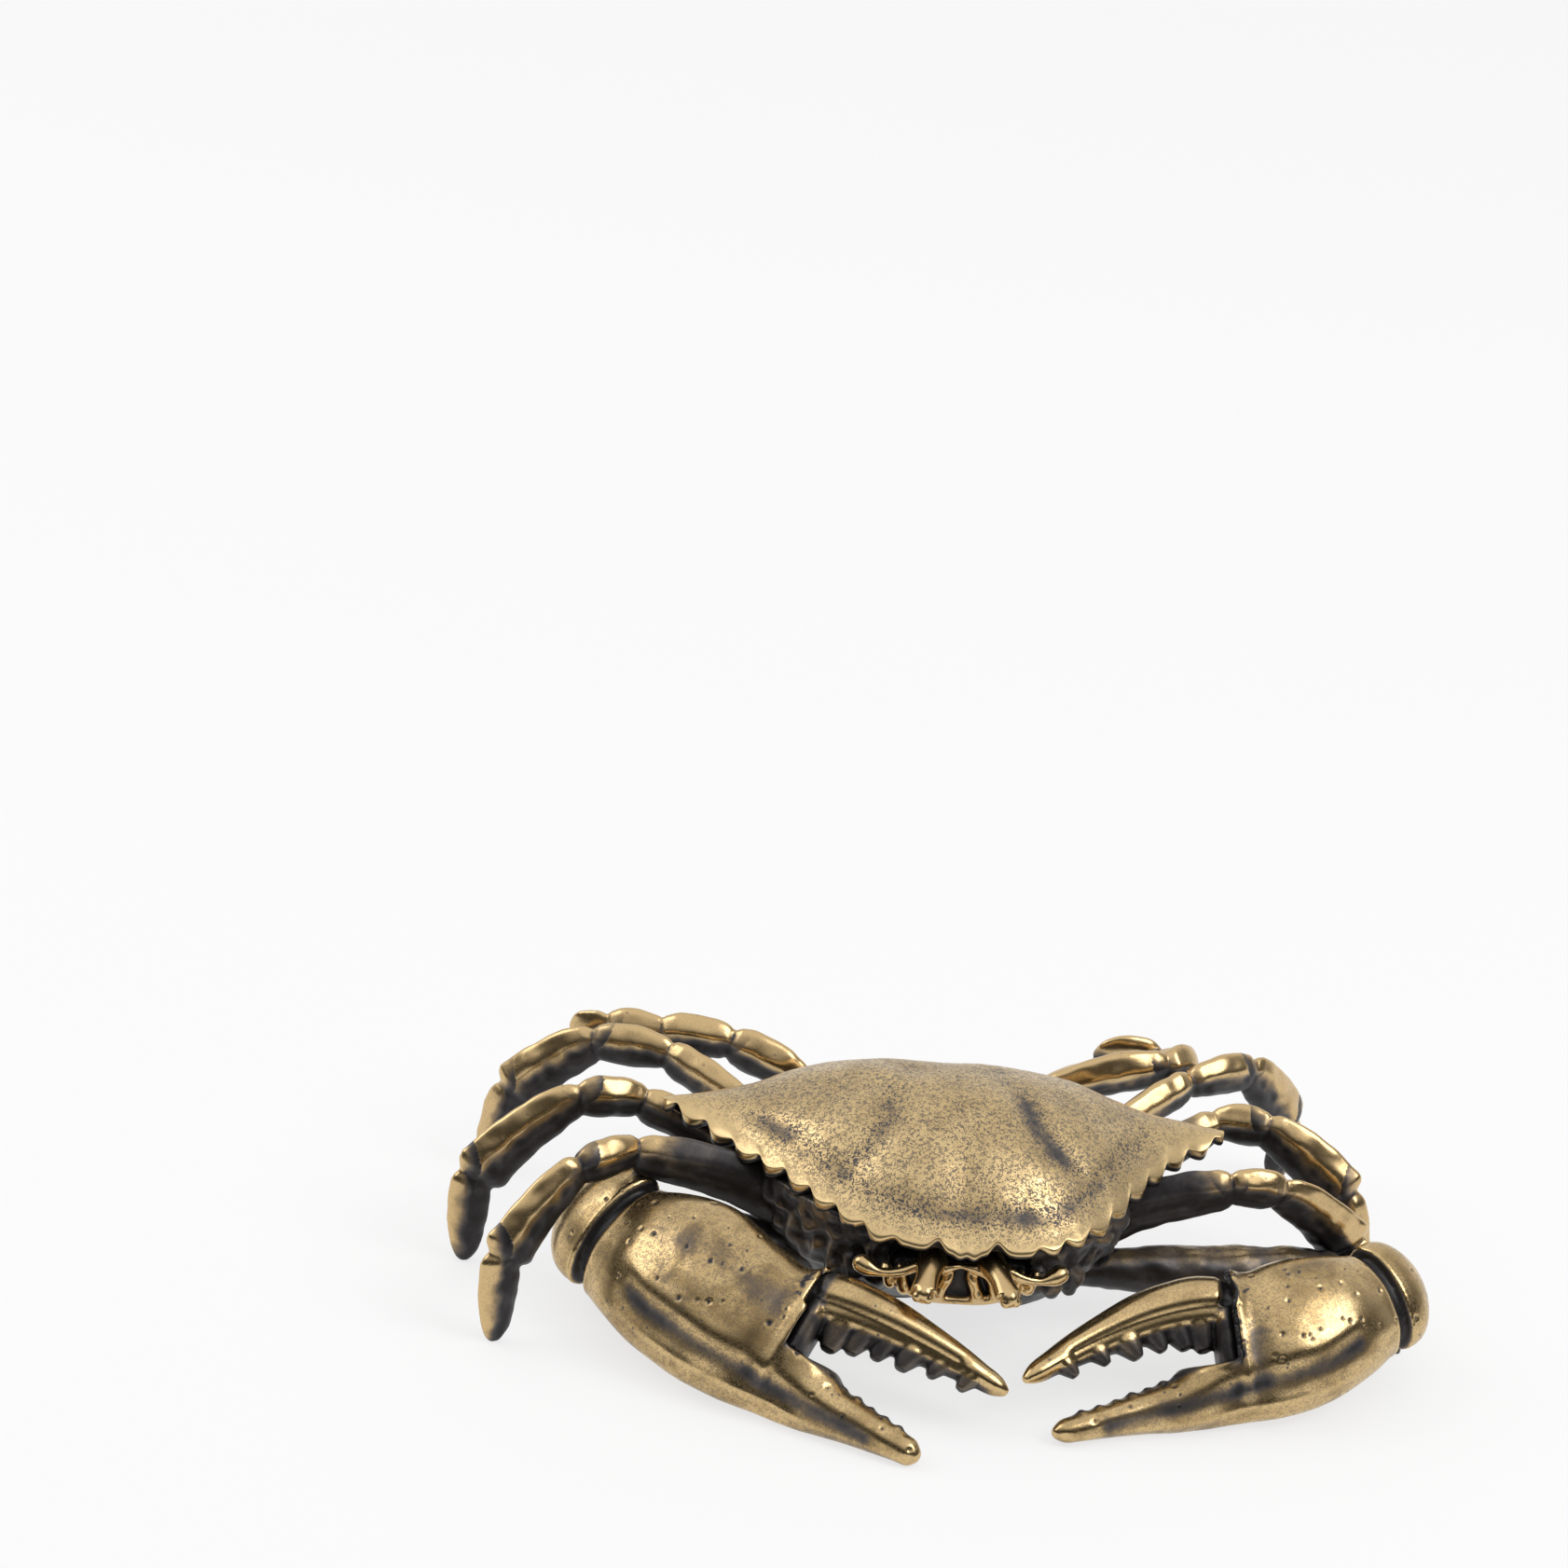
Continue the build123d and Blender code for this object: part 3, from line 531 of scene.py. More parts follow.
def makeMouth():
    bm = bmesh.new()
    middleZ = (mouth["top"] + mouth["bottom"]) / 2
    halfZ = (mouth["top"] - mouth["bottom"]) / 2
    meanHalf = (mouth["topHalf"] + mouth["lowHalf"]) / 2
    lean = (mouth["topHalf"] - mouth["lowHalf"]) / 2 / meanHalf
    right, out = Vector((1, 0, 0)), Vector((0, -1, 0))

    def plateSection(x, y):
        x, y = (math.copysign(abs(value) ** mouth["cornerPower"], value) for value in (x, y))
        return x * (1 + lean * y), y

    stations = [
        (spot(0, mouth["faceY"] - depth, middleZ), out, meanHalf * size, halfZ * size)
        for depth, size in mouth["plate"]
    ]
    addLoft(bm, stations, right, 1, plateSection)
    half = (mouth["ribRadius"], mouth["ribRadius"] * mouth["flatter"])
    for sign in sides.values():
        for bar in mouth["bars"]:
            curve = [spot(sign * x, mouth["ribFront"], z) for x, z in bar]
            addTube(bm, hornRows(curve, half, mouth["ribShape"]), right + up * mouth["ribLean"])
    lip = [spot(x, mouth["ribFront"] + mouth["lipBack"], z) for x, z in mouth["lip"]]
    half = (mouth["lipRadius"] * mouth["flatter"], mouth["lipRadius"])
    addTube(bm, hornRows(lip, half, mouth["lipShape"]), out)
    for sign in sides.values():
        curve = [spot(sign * x, y, z) for x, y, z in mouth["feeler"]]
        addTube(bm, hornRows(curve, (mouth["feelerRadius"],) * 2, mouth["feelerShape"]), up)
        x, _, z = mouth["feeler"][0]
        addRod(bm, spot(sign * x, mouth["faceY"] - mouth["feelerSunk"], z), curve[0], mouth["feelerRadius"])
    mesh = castFrom(bm, "mouthCast", mouth["voxel"], mouth["relax"])
    behindRibs = pointsOf(mesh)[:, 1] - crab["middle"].y - mouth["ribFront"]
    sunk = ease(mouth["sunkFrom"], mouth["sunkTo"], behindRibs)
    # painted shade behind the ribs, painted highlight on them
    soot = mouth["soot"] * sunk - mouth["ribHighlightGold"] * (1 - sunk)
    keepCast("mouth_plate", mesh, "limb_brass", soot, mouth["ribHighlight"] * (1 - sunk))


makeMouth()


# Eye stalks

eyes = {
    "root": (1.9, -11.4, 9.1), "tip": (2.8, -14.7, 8.45), "sag": 0.35,
    "radius": 0.62, "flat": 1.3, "shape": ((0.0, 1.35), (0.3, 1.15), (0.65, 0.95), (1.0, 1.12)),
    "ball": 0.7, "ballStretch": (1.0, 1.12, 1.0), "bead": 0.38, "beadOut": 0.42, "beadApart": 0.34,
    # gold takes off the painted shade that the crab's occlusion lays on the stalks
    "voxel": 0.07, "relax": 3, "gold": 0.7, "polishAndHighlight": 0.8,
}


def makeEye(sign):
    bm = bmesh.new()
    start, end = (spot(sign * x, y, z) for x, y, z in (eyes["root"], eyes["tip"]))
    curve = (start, (start + end) / 2 + up * eyes["sag"], end)
    addTube(bm, hornRows(curve, (eyes["radius"], eyes["radius"] * eyes["flat"]), eyes["shape"]), up)
    addBall(bm, end, eyes["ball"], eyes["ballStretch"])
    axis = bendAxis(curve, 1.0)
    across = axis.cross(up).normalized()
    for way in (-1, 1):
        addBall(bm, end + axis * eyes["beadOut"] + across * (eyes["beadApart"] * way), eyes["bead"])
    return castFrom(bm, "eyeCast", eyes["voxel"], eyes["relax"])


for side, sign in sides.items():
    keepCast(f"{side}_eye_stalk", makeEye(sign), "limb_brass", -eyes["gold"], eyes["polishAndHighlight"])
print("mouth and eyes modelled")


# Legs: keeled blades, one loft to a segment

legs = {
    "roots": {
        "leg_1": (11.4, -3.6, 7.4), "leg_2": (11.5, 0.4, 7.6),
        "leg_3": (9.6, 4.2, 7.6), "paddle_leg": (5.4, 7.2, 7.2),
    },
    # knee, ankle, heel and tip about the middle, mirrored on the right
    "left_leg_1": ((19.2, -3.4, 11.2), (22.7, -2.6, 10.6), (28.6, -0.2, 5.4), (31.9, -5.4, 0.0)),
    "left_leg_2": ((19.4, 5.1, 11.2), (22.8, 4.0, 11.6), (28.5, 2.5, 7.4), (30.3, 1.2, 0.0)),
    "left_leg_3": ((18.5, 10.8, 11.0), (23.3, 13.6, 10.6), (27.3, 16.6, 4.8), (27.1, 16.6, 0.0)),
    "right_leg_1": ((21.3, -3.3, 11.2), (25.1, -6.0, 11.2), (29.8, -9.4, 6.1), (29.6, -9.8, 0.0)),
    "right_leg_2": ((20.2, 3.5, 11.2), (24.6, 2.2, 11.9), (31.2, 0.6, 6.2), (31.1, 0.1, 0.0)),
    "right_leg_3": ((17.8, 10.4, 11.0), (22.8, 11.6, 10.9), (27.9, 12.3, 6.2), (29.0, 12.5, 0.0)),
    "left_paddle_leg": (
        (8.6, 12.2, 8.8), (17.3, 13.0, 10.9), (19.2, 15.0, 9.8), (17.0, 16.2, 9.6), (12.8, 16.6, 9.4),
    ),
    "right_paddle_leg": (
        (8.2, 12.2, 8.5), (13.2, 13.4, 10.5), (17.9, 14.4, 10.3), (21.4, 15.2, 9.9), (23.6, 16.2, 8.4),
    ),
    # shape, thickness and height of each blade
    "walkBlades": (("root", 2.0, 2.8), ("bean", 2.1, 2.9), ("shin", 1.9, 3.6), ("foot", 1.7, 2.9)),
    "paddleBlades": (
        ("root", 1.9, 2.6), ("bean", 2.3, 3.2), ("bean", 2.3, 3.1), ("bean", 2.0, 3.0),
        ("paddle", 1.3, 3.4),
    ),
    "shapes": {  # share of the blade's length, then of its size
        "root": ((0.0, 0.7), (0.15, 0.74), (0.5, 0.9), (0.82, 1.04), (0.95, 0.9), (1.0, 0.55)),
        "bean": ((0.0, 0.45), (0.07, 0.74), (0.25, 0.95), (0.55, 1.06), (0.82, 0.98), (0.95, 0.76),
                 (1.0, 0.48)),
        "shin": ((0.0, 0.45), (0.06, 0.7), (0.2, 0.86), (0.5, 0.98), (0.8, 1.06), (0.94, 1.02),
                 (1.0, 0.66)),
        "foot": ((0.0, 0.6), (0.06, 0.84), (0.2, 0.98), (0.45, 0.96), (0.7, 0.82), (0.86, 0.62),
                 (0.95, 0.4), (1.0, 0.14)),
        "paddle": ((0.0, 0.5), (0.08, 0.7), (0.35, 0.96), (0.7, 1.0), (0.92, 0.62), (1.0, 0.3)),
    },
    "rootRise": {"leg_1": 1.0},   # added to the first blade's half depth at the body, and to its height
    "keel": 0.34, "keelFrom": 0.25, "foot": 0.2, "footFrom": 0.3,   # how a blade narrows to its two edges
    "hollow": 0.24, "hollowAt": -0.12, "hollowWidth": 0.36,
    "drop": 0.25, "lap": 0.35, "rootLap": 1.2, "arch": 0.055, "sink": 0.1,
    "voxel": 0.12, "relax": 3,
    "waves": 0.09, "waveScale": 1.3,
    "roughness": 0.06, "roughScale": 0.9, "roughFrom": 0.85, "roughTo": -0.45,   # of the undersides
    # gold along the top of each blade, darker down its flanks and underside
    "ragged": 0.18, "raggedScale": 0.9, "goldFrom": -0.25, "goldTo": 0.95, "soot": 0.9, "polishAndHighlight": 0.5,
    # the blade next to the body is darker, as patina and painted shade under the shell
    "darkRoots": {"leg_1": 0.92, "leg_2": 0.75}, "darkFrom": 1.0, "darkTo": 0.7,
}


def legSection(x, y):  # y = 1 is the keel along the top
    keel = 1 - legs["keel"] * ease(legs["keelFrom"], 1.0, y)
    foot = 1 - legs["foot"] * ease(legs["footFrom"], 1.0, -y)
    hollow = 1 - legs["hollow"] * bump(y, legs["hollowAt"], legs["hollowWidth"])
    return x * keel * foot * hollow, y


def limbHeight(points, segments):  # how high on its own segment each point lies, from -1 to 1
    best, height = np.full(len(points), np.inf), np.zeros(len(points))
    for start, end, raised, half in segments:
        start, run = np.array(start), np.array(end - start)
        t = np.clip((points - start) @ run / (run @ run), 0, 1)
        offset = points - start - t[:, None] * run
        gap = np.linalg.norm(offset, axis=1)
        height = np.where(gap < best, offset @ np.array(raised) / half, height)
        best = np.minimum(best, gap)
    return height


def legBlades(side, limb):  # rows of each blade's tube, and its line, upper side and half height
    isPaddle = limb == "paddle_leg"
    stops = [spot(sides[side] * x, y, z) for x, y, z in (legs["roots"][limb], *legs[f"{side}_{limb}"])]
    run = stops[-1] - stops[0]
    legSide = Vector((run.y, -run.x, 0)).normalized()
    blades, segments = [], []
    sizes = legs["paddleBlades"] if isPaddle else legs["walkBlades"]
    for start, end, (shape, thick, high) in zip(stops, stops[1:], sizes):
        step = (end - start).normalized()
        start = start - step * (legs["rootLap"] if shape == "root" else legs["lap"])
        raised = legSide.cross(step).normalized()   # the upper side, or a steep foot's outer side
        if isPaddle and raised.z < 0:
            raised = -raised
        arch = legs["arch"]
        if shape == "foot":
            end = end - up * legs["sink"]
            arch = 0.0
        else:
            start, end = start - raised * legs["drop"], end - raised * legs["drop"]
        middle = (start + end) / 2 + raised * ((end - start).length * arch * 2)
        rows = hornRows((start, middle, end), (thick / 2, high / 2), legs["shapes"][shape])
        if shape == "root":
            lifts = [legs["rootRise"].get(limb, 0.0) * (1 - share) for share, _ in legs["shapes"][shape]]
            rows = [
                (point + raised * lift, wide, deep + lift)
                for (point, wide, deep), lift in zip(rows, lifts)
            ]
        blades.append(rows)
        segments.append((start, end, raised, high / 2))
    return stops, legSide, blades, segments


def makeLeg(side, limb):
    name = f"{side}_{limb}"
    stops, legSide, blades, segments = legBlades(side, limb)
    bm = bmesh.new()
    for rows in blades:
        addTube(bm, rows, legSide, -1, legSection)
    mesh = castFrom(bm, name + "Cast", legs["voxel"], legs["relax"])
    lumpSurface(mesh, legs["waveScale"], legs["waves"])
    standOnTable(mesh)
    points = pointsOf(mesh)
    height = limbHeight(points, segments) + legs["ragged"] * unevenness(points, legs["raggedScale"])
    onUnderside = ease(legs["roughFrom"], legs["roughTo"], height)
    lumpSurface(mesh, legs["roughScale"], legs["roughness"], onUnderside)
    standOnTable(mesh)
    gold = ease(legs["goldFrom"], legs["goldTo"], height)
    # darker next to the body, as patina and painted shade under the shell
    if limb in legs["darkRoots"]:
        rootRun = np.array(stops[1] - stops[0])
        alongRoot = (points - np.array(stops[0])) @ rootRun / (rootRun @ rootRun)
        gold = gold * (1 - legs["darkRoots"][limb] * ease(legs["darkFrom"], legs["darkTo"], alongRoot))
    keepCast(name, mesh, "limb_brass", legs["soot"] * (1 - gold), legs["polishAndHighlight"] * gold)


for side in sides:
    for limb in legs["roots"]:
        makeLeg(side, limb)
print("legs modelled")


# Claws: what the four castings of a claw share

claws = {
    # places of palm, elbow and tips; sizes; and darkened patches on the palm's outer face, each with its
    # line (share of the palm's line, then -1 to 1 from upper to lower edge), its reach and its darkness
    "left": {
        "palm": ((28.9, -8.7, 5.0), (18.0, -11.9, 4.2)), "half": (5.35, 3.1), "elbow": (26.6, -2.4, 4.3),
        "fingerTip": (4.3, -16.5, 3.3), "fixedTip": (6.2, -18.8, 0.8),
        "fingerShare": 0.39, "fingerOffset": 0.42, "fingerGap": 0.1,
        "endDrop": 0.04, "endSlant": 0.23, "endPivot": -0.44, "wristLength": 3.9,
        "darkPatches": ((((0.86, -0.05), (0.92, 0.3)), 1.1, 0.5), (((0.35, -0.75), (0.6, -0.8)), 0.9, 0.3)),
    },
    "right": {
        "palm": ((-21.8, -6.2, 5.1), (-10.2, -14.0, 4.85)), "half": (6.2, 3.3), "elbow": (-20.5, 0.6, 4.4),
        "fingerTip": (3.1, -17.7, 3.0), "fixedTip": (-2.9, -22.3, 0.7),
        "fingerShare": 0.34, "fingerOffset": 0.30, "fingerGap": 0.45,
        "endDrop": 0.26, "endSlant": 0.33, "endPivot": 0.15, "wristLength": 5.2,
        "darkPatches": ((((0.32, -0.3), (0.6, -0.36), (0.9, -0.3)), 1.9, 0.44),
                   (((0.32, -0.3), (0.38, 0.08), (0.55, 0.36)), 1.0, 0.42)),
    },
    "tilt": 45.0, "wristLean": 25.0,           # degrees
    "curveReach": 6.5, "fingerReach": 5.0,     # how far palm and fingers run on before they bend
    "fixedFrom": 0.62, "fixedOffset": 0.66,    # where the fixed finger leaves the palm
    "turnAt": 0.5,                             # share of the palm where its rings stop turning
    "beyond": 2.2,                             # how far the rings run on before the end is cut
    "crotch": 0.3, "crotchOut": 0.3,           # between the fingers
    "groove": 0.8, "wristShift": 0.145, "wristHeart": 0.32,
    "curveSteps": 80,
    # how bite teeth shrink towards the tip, vary, lean back and are sunk
    "toothShrink": 0.42, "toothVary": 0.14, "varyTurn": 2.3, "toothLean": 0.12, "toothSunk": 0.35,
    "pitRadius": 0.24, "pitDepth": 0.1, "voxel": 0.15,
}


def clawFrame(side):  # the lines and directions on which a claw's castings are built
    data, sign = claws[side], sides[side]
    claw = SimpleNamespace(side=side, sign=sign, data=data)
    claw.start, claw.end = (spot(*point) for point in data["palm"])
    claw.elbow, fingerTip, claw.fixedTip = (spot(*data[key]) for key in ("elbow", "fingerTip", "fixedTip"))
    claw.halfWide, claw.halfThick = data["half"]
    claw.fingerHalf = claw.halfWide * data["fingerShare"]
    axis = (claw.end - claw.start).normalized()
    level = Vector((-axis.y, axis.x, 0)).normalized() * sign
    tilt, lean = math.radians(claws["tilt"]), math.radians(claws["wristLean"])
    lower = level * math.cos(tilt) - up * math.sin(tilt)
    claw.lower = (lower - axis * lower.dot(axis)).normalized()
    claw.outer = axis.cross(claw.lower) * sign   # the broad face that looks out and up
    claw.wristAxis = -axis * math.cos(lean) - level * math.sin(lean)
    claw.palmCurve = (claw.start, claw.start - claw.wristAxis * claws["curveReach"], claw.end)
    claw.line = bendAxis(claw.palmCurve, claws["turnAt"])   # of the straight rings
    claw.across = squareTo(claw.line, claw.lower)
    claw.over = claw.line.cross(claw.across) * sign
    claw.endAxis = bendAxis(claw.palmCurve, 1.0)
    claw.endLower = squareTo(claw.endAxis, claw.lower)
    claw.knuckle = claw.end - claw.endLower * (claw.halfWide * data["fingerOffset"])
    claw.crotch = claw.end + claw.endAxis * (claws["beyond"] + claws["crotchOut"])
    claw.crotch += claw.endLower * (claws["crotch"] * claw.halfWide)
    claw.fingerRoot = claw.knuckle + claw.endAxis * data["fingerGap"]
    claw.fingerCurve = (claw.fingerRoot, claw.fingerRoot + claw.endAxis * claws["fingerReach"], fingerTip)
    fixedRoot = claw.start + (claw.end - claw.start) * claws["fixedFrom"]
    fixedRoot += claw.lower * (claw.halfWide * claws["fixedOffset"])
    claw.fixedCurve = (fixedRoot, fixedRoot + axis * claws["curveReach"], claw.fixedTip)
    claw.wristFace = claw.start + claw.wristAxis * claws["groove"]
    claw.wristFace -= claw.lower * (claw.halfWide * claws["wristShift"])
    claw.wristHeart = claw.wristFace + claw.wristAxis * (claws["wristHeart"] * data["wristLength"])
    return claw


def squareTo(axis, way):
    return (way - axis * way.dot(axis)).normalized()


def endPlace(claw, points):  # across and through the knuckle, and how far past the palm's slanted end
    offset = points - np.array(claw.knuckle)
    along, across = offset @ np.array(claw.endAxis), offset @ np.array(claw.endLower)
    rest = offset - np.outer(along, claw.endAxis) - np.outer(across, claw.endLower)
    through = np.linalg.norm(rest, axis=1)
    past = along + claw.data["endSlant"] * (across - claw.data["endPivot"] * claw.halfWide)
    return across, through, past


def curveOffset(points, curve):  # from the nearest point of a bend, and that point's share
    shares = np.linspace(0, 1, claws["curveSteps"])
    line = np.array([bendPoint(curve, share) for share in shares])
    nearest = np.array([np.argmin(((line - point) ** 2).sum(axis=1)) for point in points])
    return points - line[nearest], shares[nearest]


def biteTeeth(bm, curve, lift, bite, teeth):  # a row of cones along a finger's edge
    for index, share in enumerate(np.linspace(*teeth["span"], teeth["count"])):
        vary = 1 + claws["toothVary"] * math.sin(claws["varyTurn"] * index + 1)  # no two teeth alike
        size = (1 - claws["toothShrink"] * share) * vary
        height = teeth["height"] * size
        axis = bendAxis(curve, share)
        way = (bite - axis * bite.dot(axis) - axis * claws["toothLean"]).normalized()
        base = bendPoint(curve, share) + way * (lift(share) - claws["toothSunk"] * height)
        addCone(bm, base, way, teeth["radius"] * size, teeth["tip"] * size, height)


# Palm with its fixed finger

palms = {
    # share of the palm's line, then upper edge, lower edge and half thickness as shares of the palm's
    "rows": (
        (0.0, -0.75, 0.46, 0.62), (0.012, -0.80, 0.52, 0.68), (0.06, -0.84, 0.55, 0.73),
        (0.2, -0.95, 0.64, 0.86), (0.4, -1.03, 0.78, 0.96), (0.6, -1.03, 0.89, 1.0),
        (0.74, -1.0, 0.95, 0.99), (0.86, -0.955, 0.985, 0.97), (1.0, -0.90, 1.0, 0.95),
    ),
    # share of the fixed finger's line, half width and half thickness as shares of the palm's
    "fixedRows": (
        (0.47, 0.37, 0.74), (0.58, 0.31, 0.62), (0.7, 0.25, 0.50), (0.82, 0.20, 0.40), (0.92, 0.16, 0.31),
        (0.98, 0.13, 0.23), (1.0, 0.06, 0.1),
    ),
    "turningRings": 16, "outlineRings": 12, "fixedRings": 14, "straightRings": 60,
    "dropFrom": 0.5, "heartTo": 0.9, "lowTo": 1.5, "fixedFrom": 0.55, "crotchRun": 1.4,
    "teeth": {"count": 7, "span": (0.54, 0.9), "radius": 0.6, "tip": 0.34, "height": 0.6}, "teethLean": 0.3,
    "thinner": 0.14, "thinFrom": 0.5,   # towards the lower edge
    "relax": 10,
    # the slanted end with its sunk face, darkened as painted shade and patina, and the lip round it between
    # two turns in degrees
    "endFrom": 0.14, "endTo": -0.06, "sinkDepth": 0.9, "sinkThick": 0.84, "sinkEdge": (1.05, 0.85),
    "endRounds": 3, "endEdge": 0.3, "endPatinaAndShade": 0.9,
    "lipFrom": 50, "lipTo": 185, "lipSteps": 12, "lipAt": 0.2, "lipRise": 0.25, "lipWidth": 0.5,
    "dipAt": 1.5, "lipDip": 0.12, "dipWidth": 0.8,
    "keelRings": (8, -2, 4), "keelAcross": 0.84, "keelOver": 0.45, "keelRise": 0.1, "keelWidth": 0.35,
    # the band along the lower part of the outer face: share of the way to the tip, width in mm; its
    # darkening is a painted reflection
    "bandRows": ((0.0, 3.7), (0.35, 3.4), (0.6, 2.6), (0.8, 1.8), (1.0, 0.9)),
    "bandRings": (10, -12, 3), "bandWidest": 1.5,
    "ridge": 0.1, "ridgeWidth": 0.8, "trough": 0.16, "troughWidth": 0.9, "troughAt": 0.62,
    # painted dark reflection along the band
    "bandReflection": 0.72, "bandReach": 0.75, "bandAt": 0.6,
    "waves": 0.07, "waveScale": 2.4,
    "pits": 40, "pitFacing": 0.75, "pitLift": 0.5,
    "biteSoot": 0.75, "biteFrom": (0.42, 0.48), "biteTo": (0.97, 0.93), "biteEdge": (0.8, 1.0),
    "crotchFar": 2.4, "crotchNear": 1.2, "crotchFacing": (-0.2, -0.6),
    "patchSpeckle": 0.25, "patchScale": 0.9,
}
palmUpper, palmUnder, palmThick = (shapeCurve(palms["rows"], column) for column in (1, 2, 3))
fixedWide, fixedThick = (shapeCurve(palms["fixedRows"], column) for column in (1, 2))
bandWidth = shapeCurve(palms["bandRows"])


def jawSection(x, y):  # x = 1 is the lower edge, which is a soft keel
    return x, y * (1 - palms["thinner"] * ease(palms["thinFrom"], 1.0, x))


def palmRing(claw, share):  # middle, half width and half thickness at a share of the palm's line
    high = palmUpper(share) + claw.data["endDrop"] * ease(palms["dropFrom"], 1.0, share)
    low = palmUnder(share)
    middle = bendPoint(claw.palmCurve, share) + claw.lower * ((high + low) / 2 * claw.halfWide)
    return middle, (low - high) / 2 * claw.halfWide, palmThick(share) * claw.halfThick


def palmOutline(claw):  # points of the upper and lower edge, and of the middle with its half thickness
    top, low, heart = [], [], []
    for share in np.linspace(claws["turnAt"], 1, palms["outlineRings"]):
        middle, half, deep = palmRing(claw, share)
        ringLower = squareTo(bendAxis(claw.palmCurve, share), claw.lower)
        top.append(middle - ringLower * half)
        low.append(middle + ringLower * half)
        if share < palms["heartTo"]:
            heart.append((bendPoint(claw.palmCurve, share), deep))
    top.append(top[-1] + claw.endAxis * claws["beyond"])
    top.append(claw.crotch)
    low = [point for point in low if (point - claw.end).dot(claw.line) < -palms["lowTo"]]
    for share in np.linspace(palms["fixedFrom"], 1, palms["fixedRings"]):
        middle, half = bendPoint(claw.fixedCurve, share), fixedWide(share) * claw.halfWide
        upperEdge = middle - claw.across * half
        if (upperEdge - claw.crotch).dot(claw.line) > palms["crotchRun"]:
            top.append(upperEdge)
        low.append(middle + claw.across * half)
        heart.append((middle, fixedThick(share) * claw.halfThick))
    return top, low, heart


def palmStations(claw):  # rings from the wrist to the fixed finger's tip
    stations = []
    firstShares = [row[0] for row in palms["rows"][1:4]]
    for share in sorted({*np.linspace(0, claws["turnAt"], palms["turningRings"]), *firstShares}):
        middle, half, deep = palmRing(claw, share)
        stations.append((middle, bendAxis(claw.palmCurve, share), half, deep))

    def places(points, way):
        return [(point - claw.start).dot(way) for point in points]

    # from here the rings stand square to one line, between the two edges
    top, low, heart = palmOutline(claw)
    middles, depths = zip(*heart)
    first, last = places((stations[-1][0], claw.fixedTip), claw.line)
    for run in np.linspace(first, last, palms["straightRings"])[1:]:
        high, under = (
            np.interp(run, places(edge, claw.line), places(edge, claw.across)) for edge in (top, low)
        )
        rise = np.interp(run, places(middles, claw.line), places(middles, claw.over))
        deep = np.interp(run, places(middles, claw.line), depths)
        middle = claw.start + claw.line * run + claw.across * ((high + under) / 2) + claw.over * rise
        stations.append((middle, claw.line, (under - high) / 2, deep))
    return stations


def cutPalmEnd(claw, mesh):  # slanted, with a sunk face for the finger; gives its darkening, painted shade and patina in the socket
    points = pointsOf(mesh)
    across, through, past = endPlace(claw, points)
    fromCrotch = across / claw.halfWide - claw.data["fingerOffset"] - claws["crotch"]
    aboveCrotch = ease(palms["endFrom"], palms["endTo"], fromCrotch)
    fromKnuckle = np.hypot(across / claw.fingerHalf, through / (palms["sinkThick"] * claw.halfThick))
    sunk = ease(*palms["sinkEdge"], fromKnuckle) * ease(-palms["endEdge"], 0.0, past)
    cut = np.maximum(past, 0) * aboveCrotch + palms["sinkDepth"] * sunk
    movePoints(mesh, points - np.array(claw.endAxis) * cut[:, None])
    movePoints(mesh, neighbourMean(pointsOf(mesh), edgesOf(mesh), palms["endRounds"]))
    return np.maximum(sunk, palms["endPatinaAndShade"] * ease(0.0, palms["endEdge"], past) * aboveCrotch)


def endArc(claw, inset):  # over the outer face, at a distance behind the palm's end
    middle, half, deep = palmRing(claw, 1.0)
    turns = np.radians(np.linspace(palms["lipFrom"], palms["lipTo"], palms["lipSteps"]))
    arc = np.array(middle) + np.outer(half * np.cos(turns), claw.endLower)
    arc += np.outer(deep * np.sin(turns), claw.outer)
    return arc - np.outer(endPlace(claw, arc)[2] + inset, claw.endAxis)


def bandLine(claw, stations, part):  # on the outer face, at a part of the band's width from the lower edge
    swept = stations[slice(*palms["bandRings"])]
    line = []
    for place, (middle, _, half, deep) in zip(np.linspace(0, 1, len(swept)), swept):
        x = 1 - min(part * bandWidth(place) / half, palms["bandWidest"])
        line.append(middle + claw.across * (half * x) + claw.over * (deep * math.sqrt(1 - x * x)))
    return line


def facePoint(claw, share, x):  # on the outer face, from its upper edge at -1 to its lower edge at 1
    middle, half, deep = palmRing(claw, share)
    return middle + claw.lower * (half * x) + claw.outer * (deep * math.sqrt(1 - x * x))


def palmPatinaAndShade(claw, mesh, stations):  # patina and painted shade between the fingers, darkened patches, and a painted dark reflection along the band
    points = pointsOf(mesh)
    away, share = curveOffset(points, claw.fixedCurve)
    bite = -(away @ np.array(claw.lower)) / (fixedWide(share) * claw.halfWide)
    onEdge = ease(*palms["biteFrom"], share) * ease(*palms["biteTo"], share) * ease(*palms["biteEdge"], bite)
    facing = normalsOf(mesh) @ np.array(claw.lower)
    fromCrotch = np.linalg.norm(points - np.array(claw.crotch), axis=1)
    inCrotch = ease(palms["crotchFar"], palms["crotchNear"], fromCrotch)
    inCrotch *= ease(*palms["crotchFacing"], facing)
    soot = np.maximum(palms["biteSoot"] * onEdge, palms["endPatinaAndShade"] * inCrotch)
    speckle = 1 + palms["patchSpeckle"] * unevenness(points, palms["patchScale"])
    for line, reach, depth in claw.data["darkPatches"]:
        darkPatch = bump(lineDistance(points, [facePoint(claw, *place) for place in line]), 0, reach)
        soot = np.maximum(soot, depth * darkPatch * speckle)
    # painted dark reflection along the band
    fromBand = lineDistance(points, bandLine(claw, stations, palms["bandAt"]))
    return soot, palms["bandReflection"] * bump(fromBand, 0, palms["bandReach"])


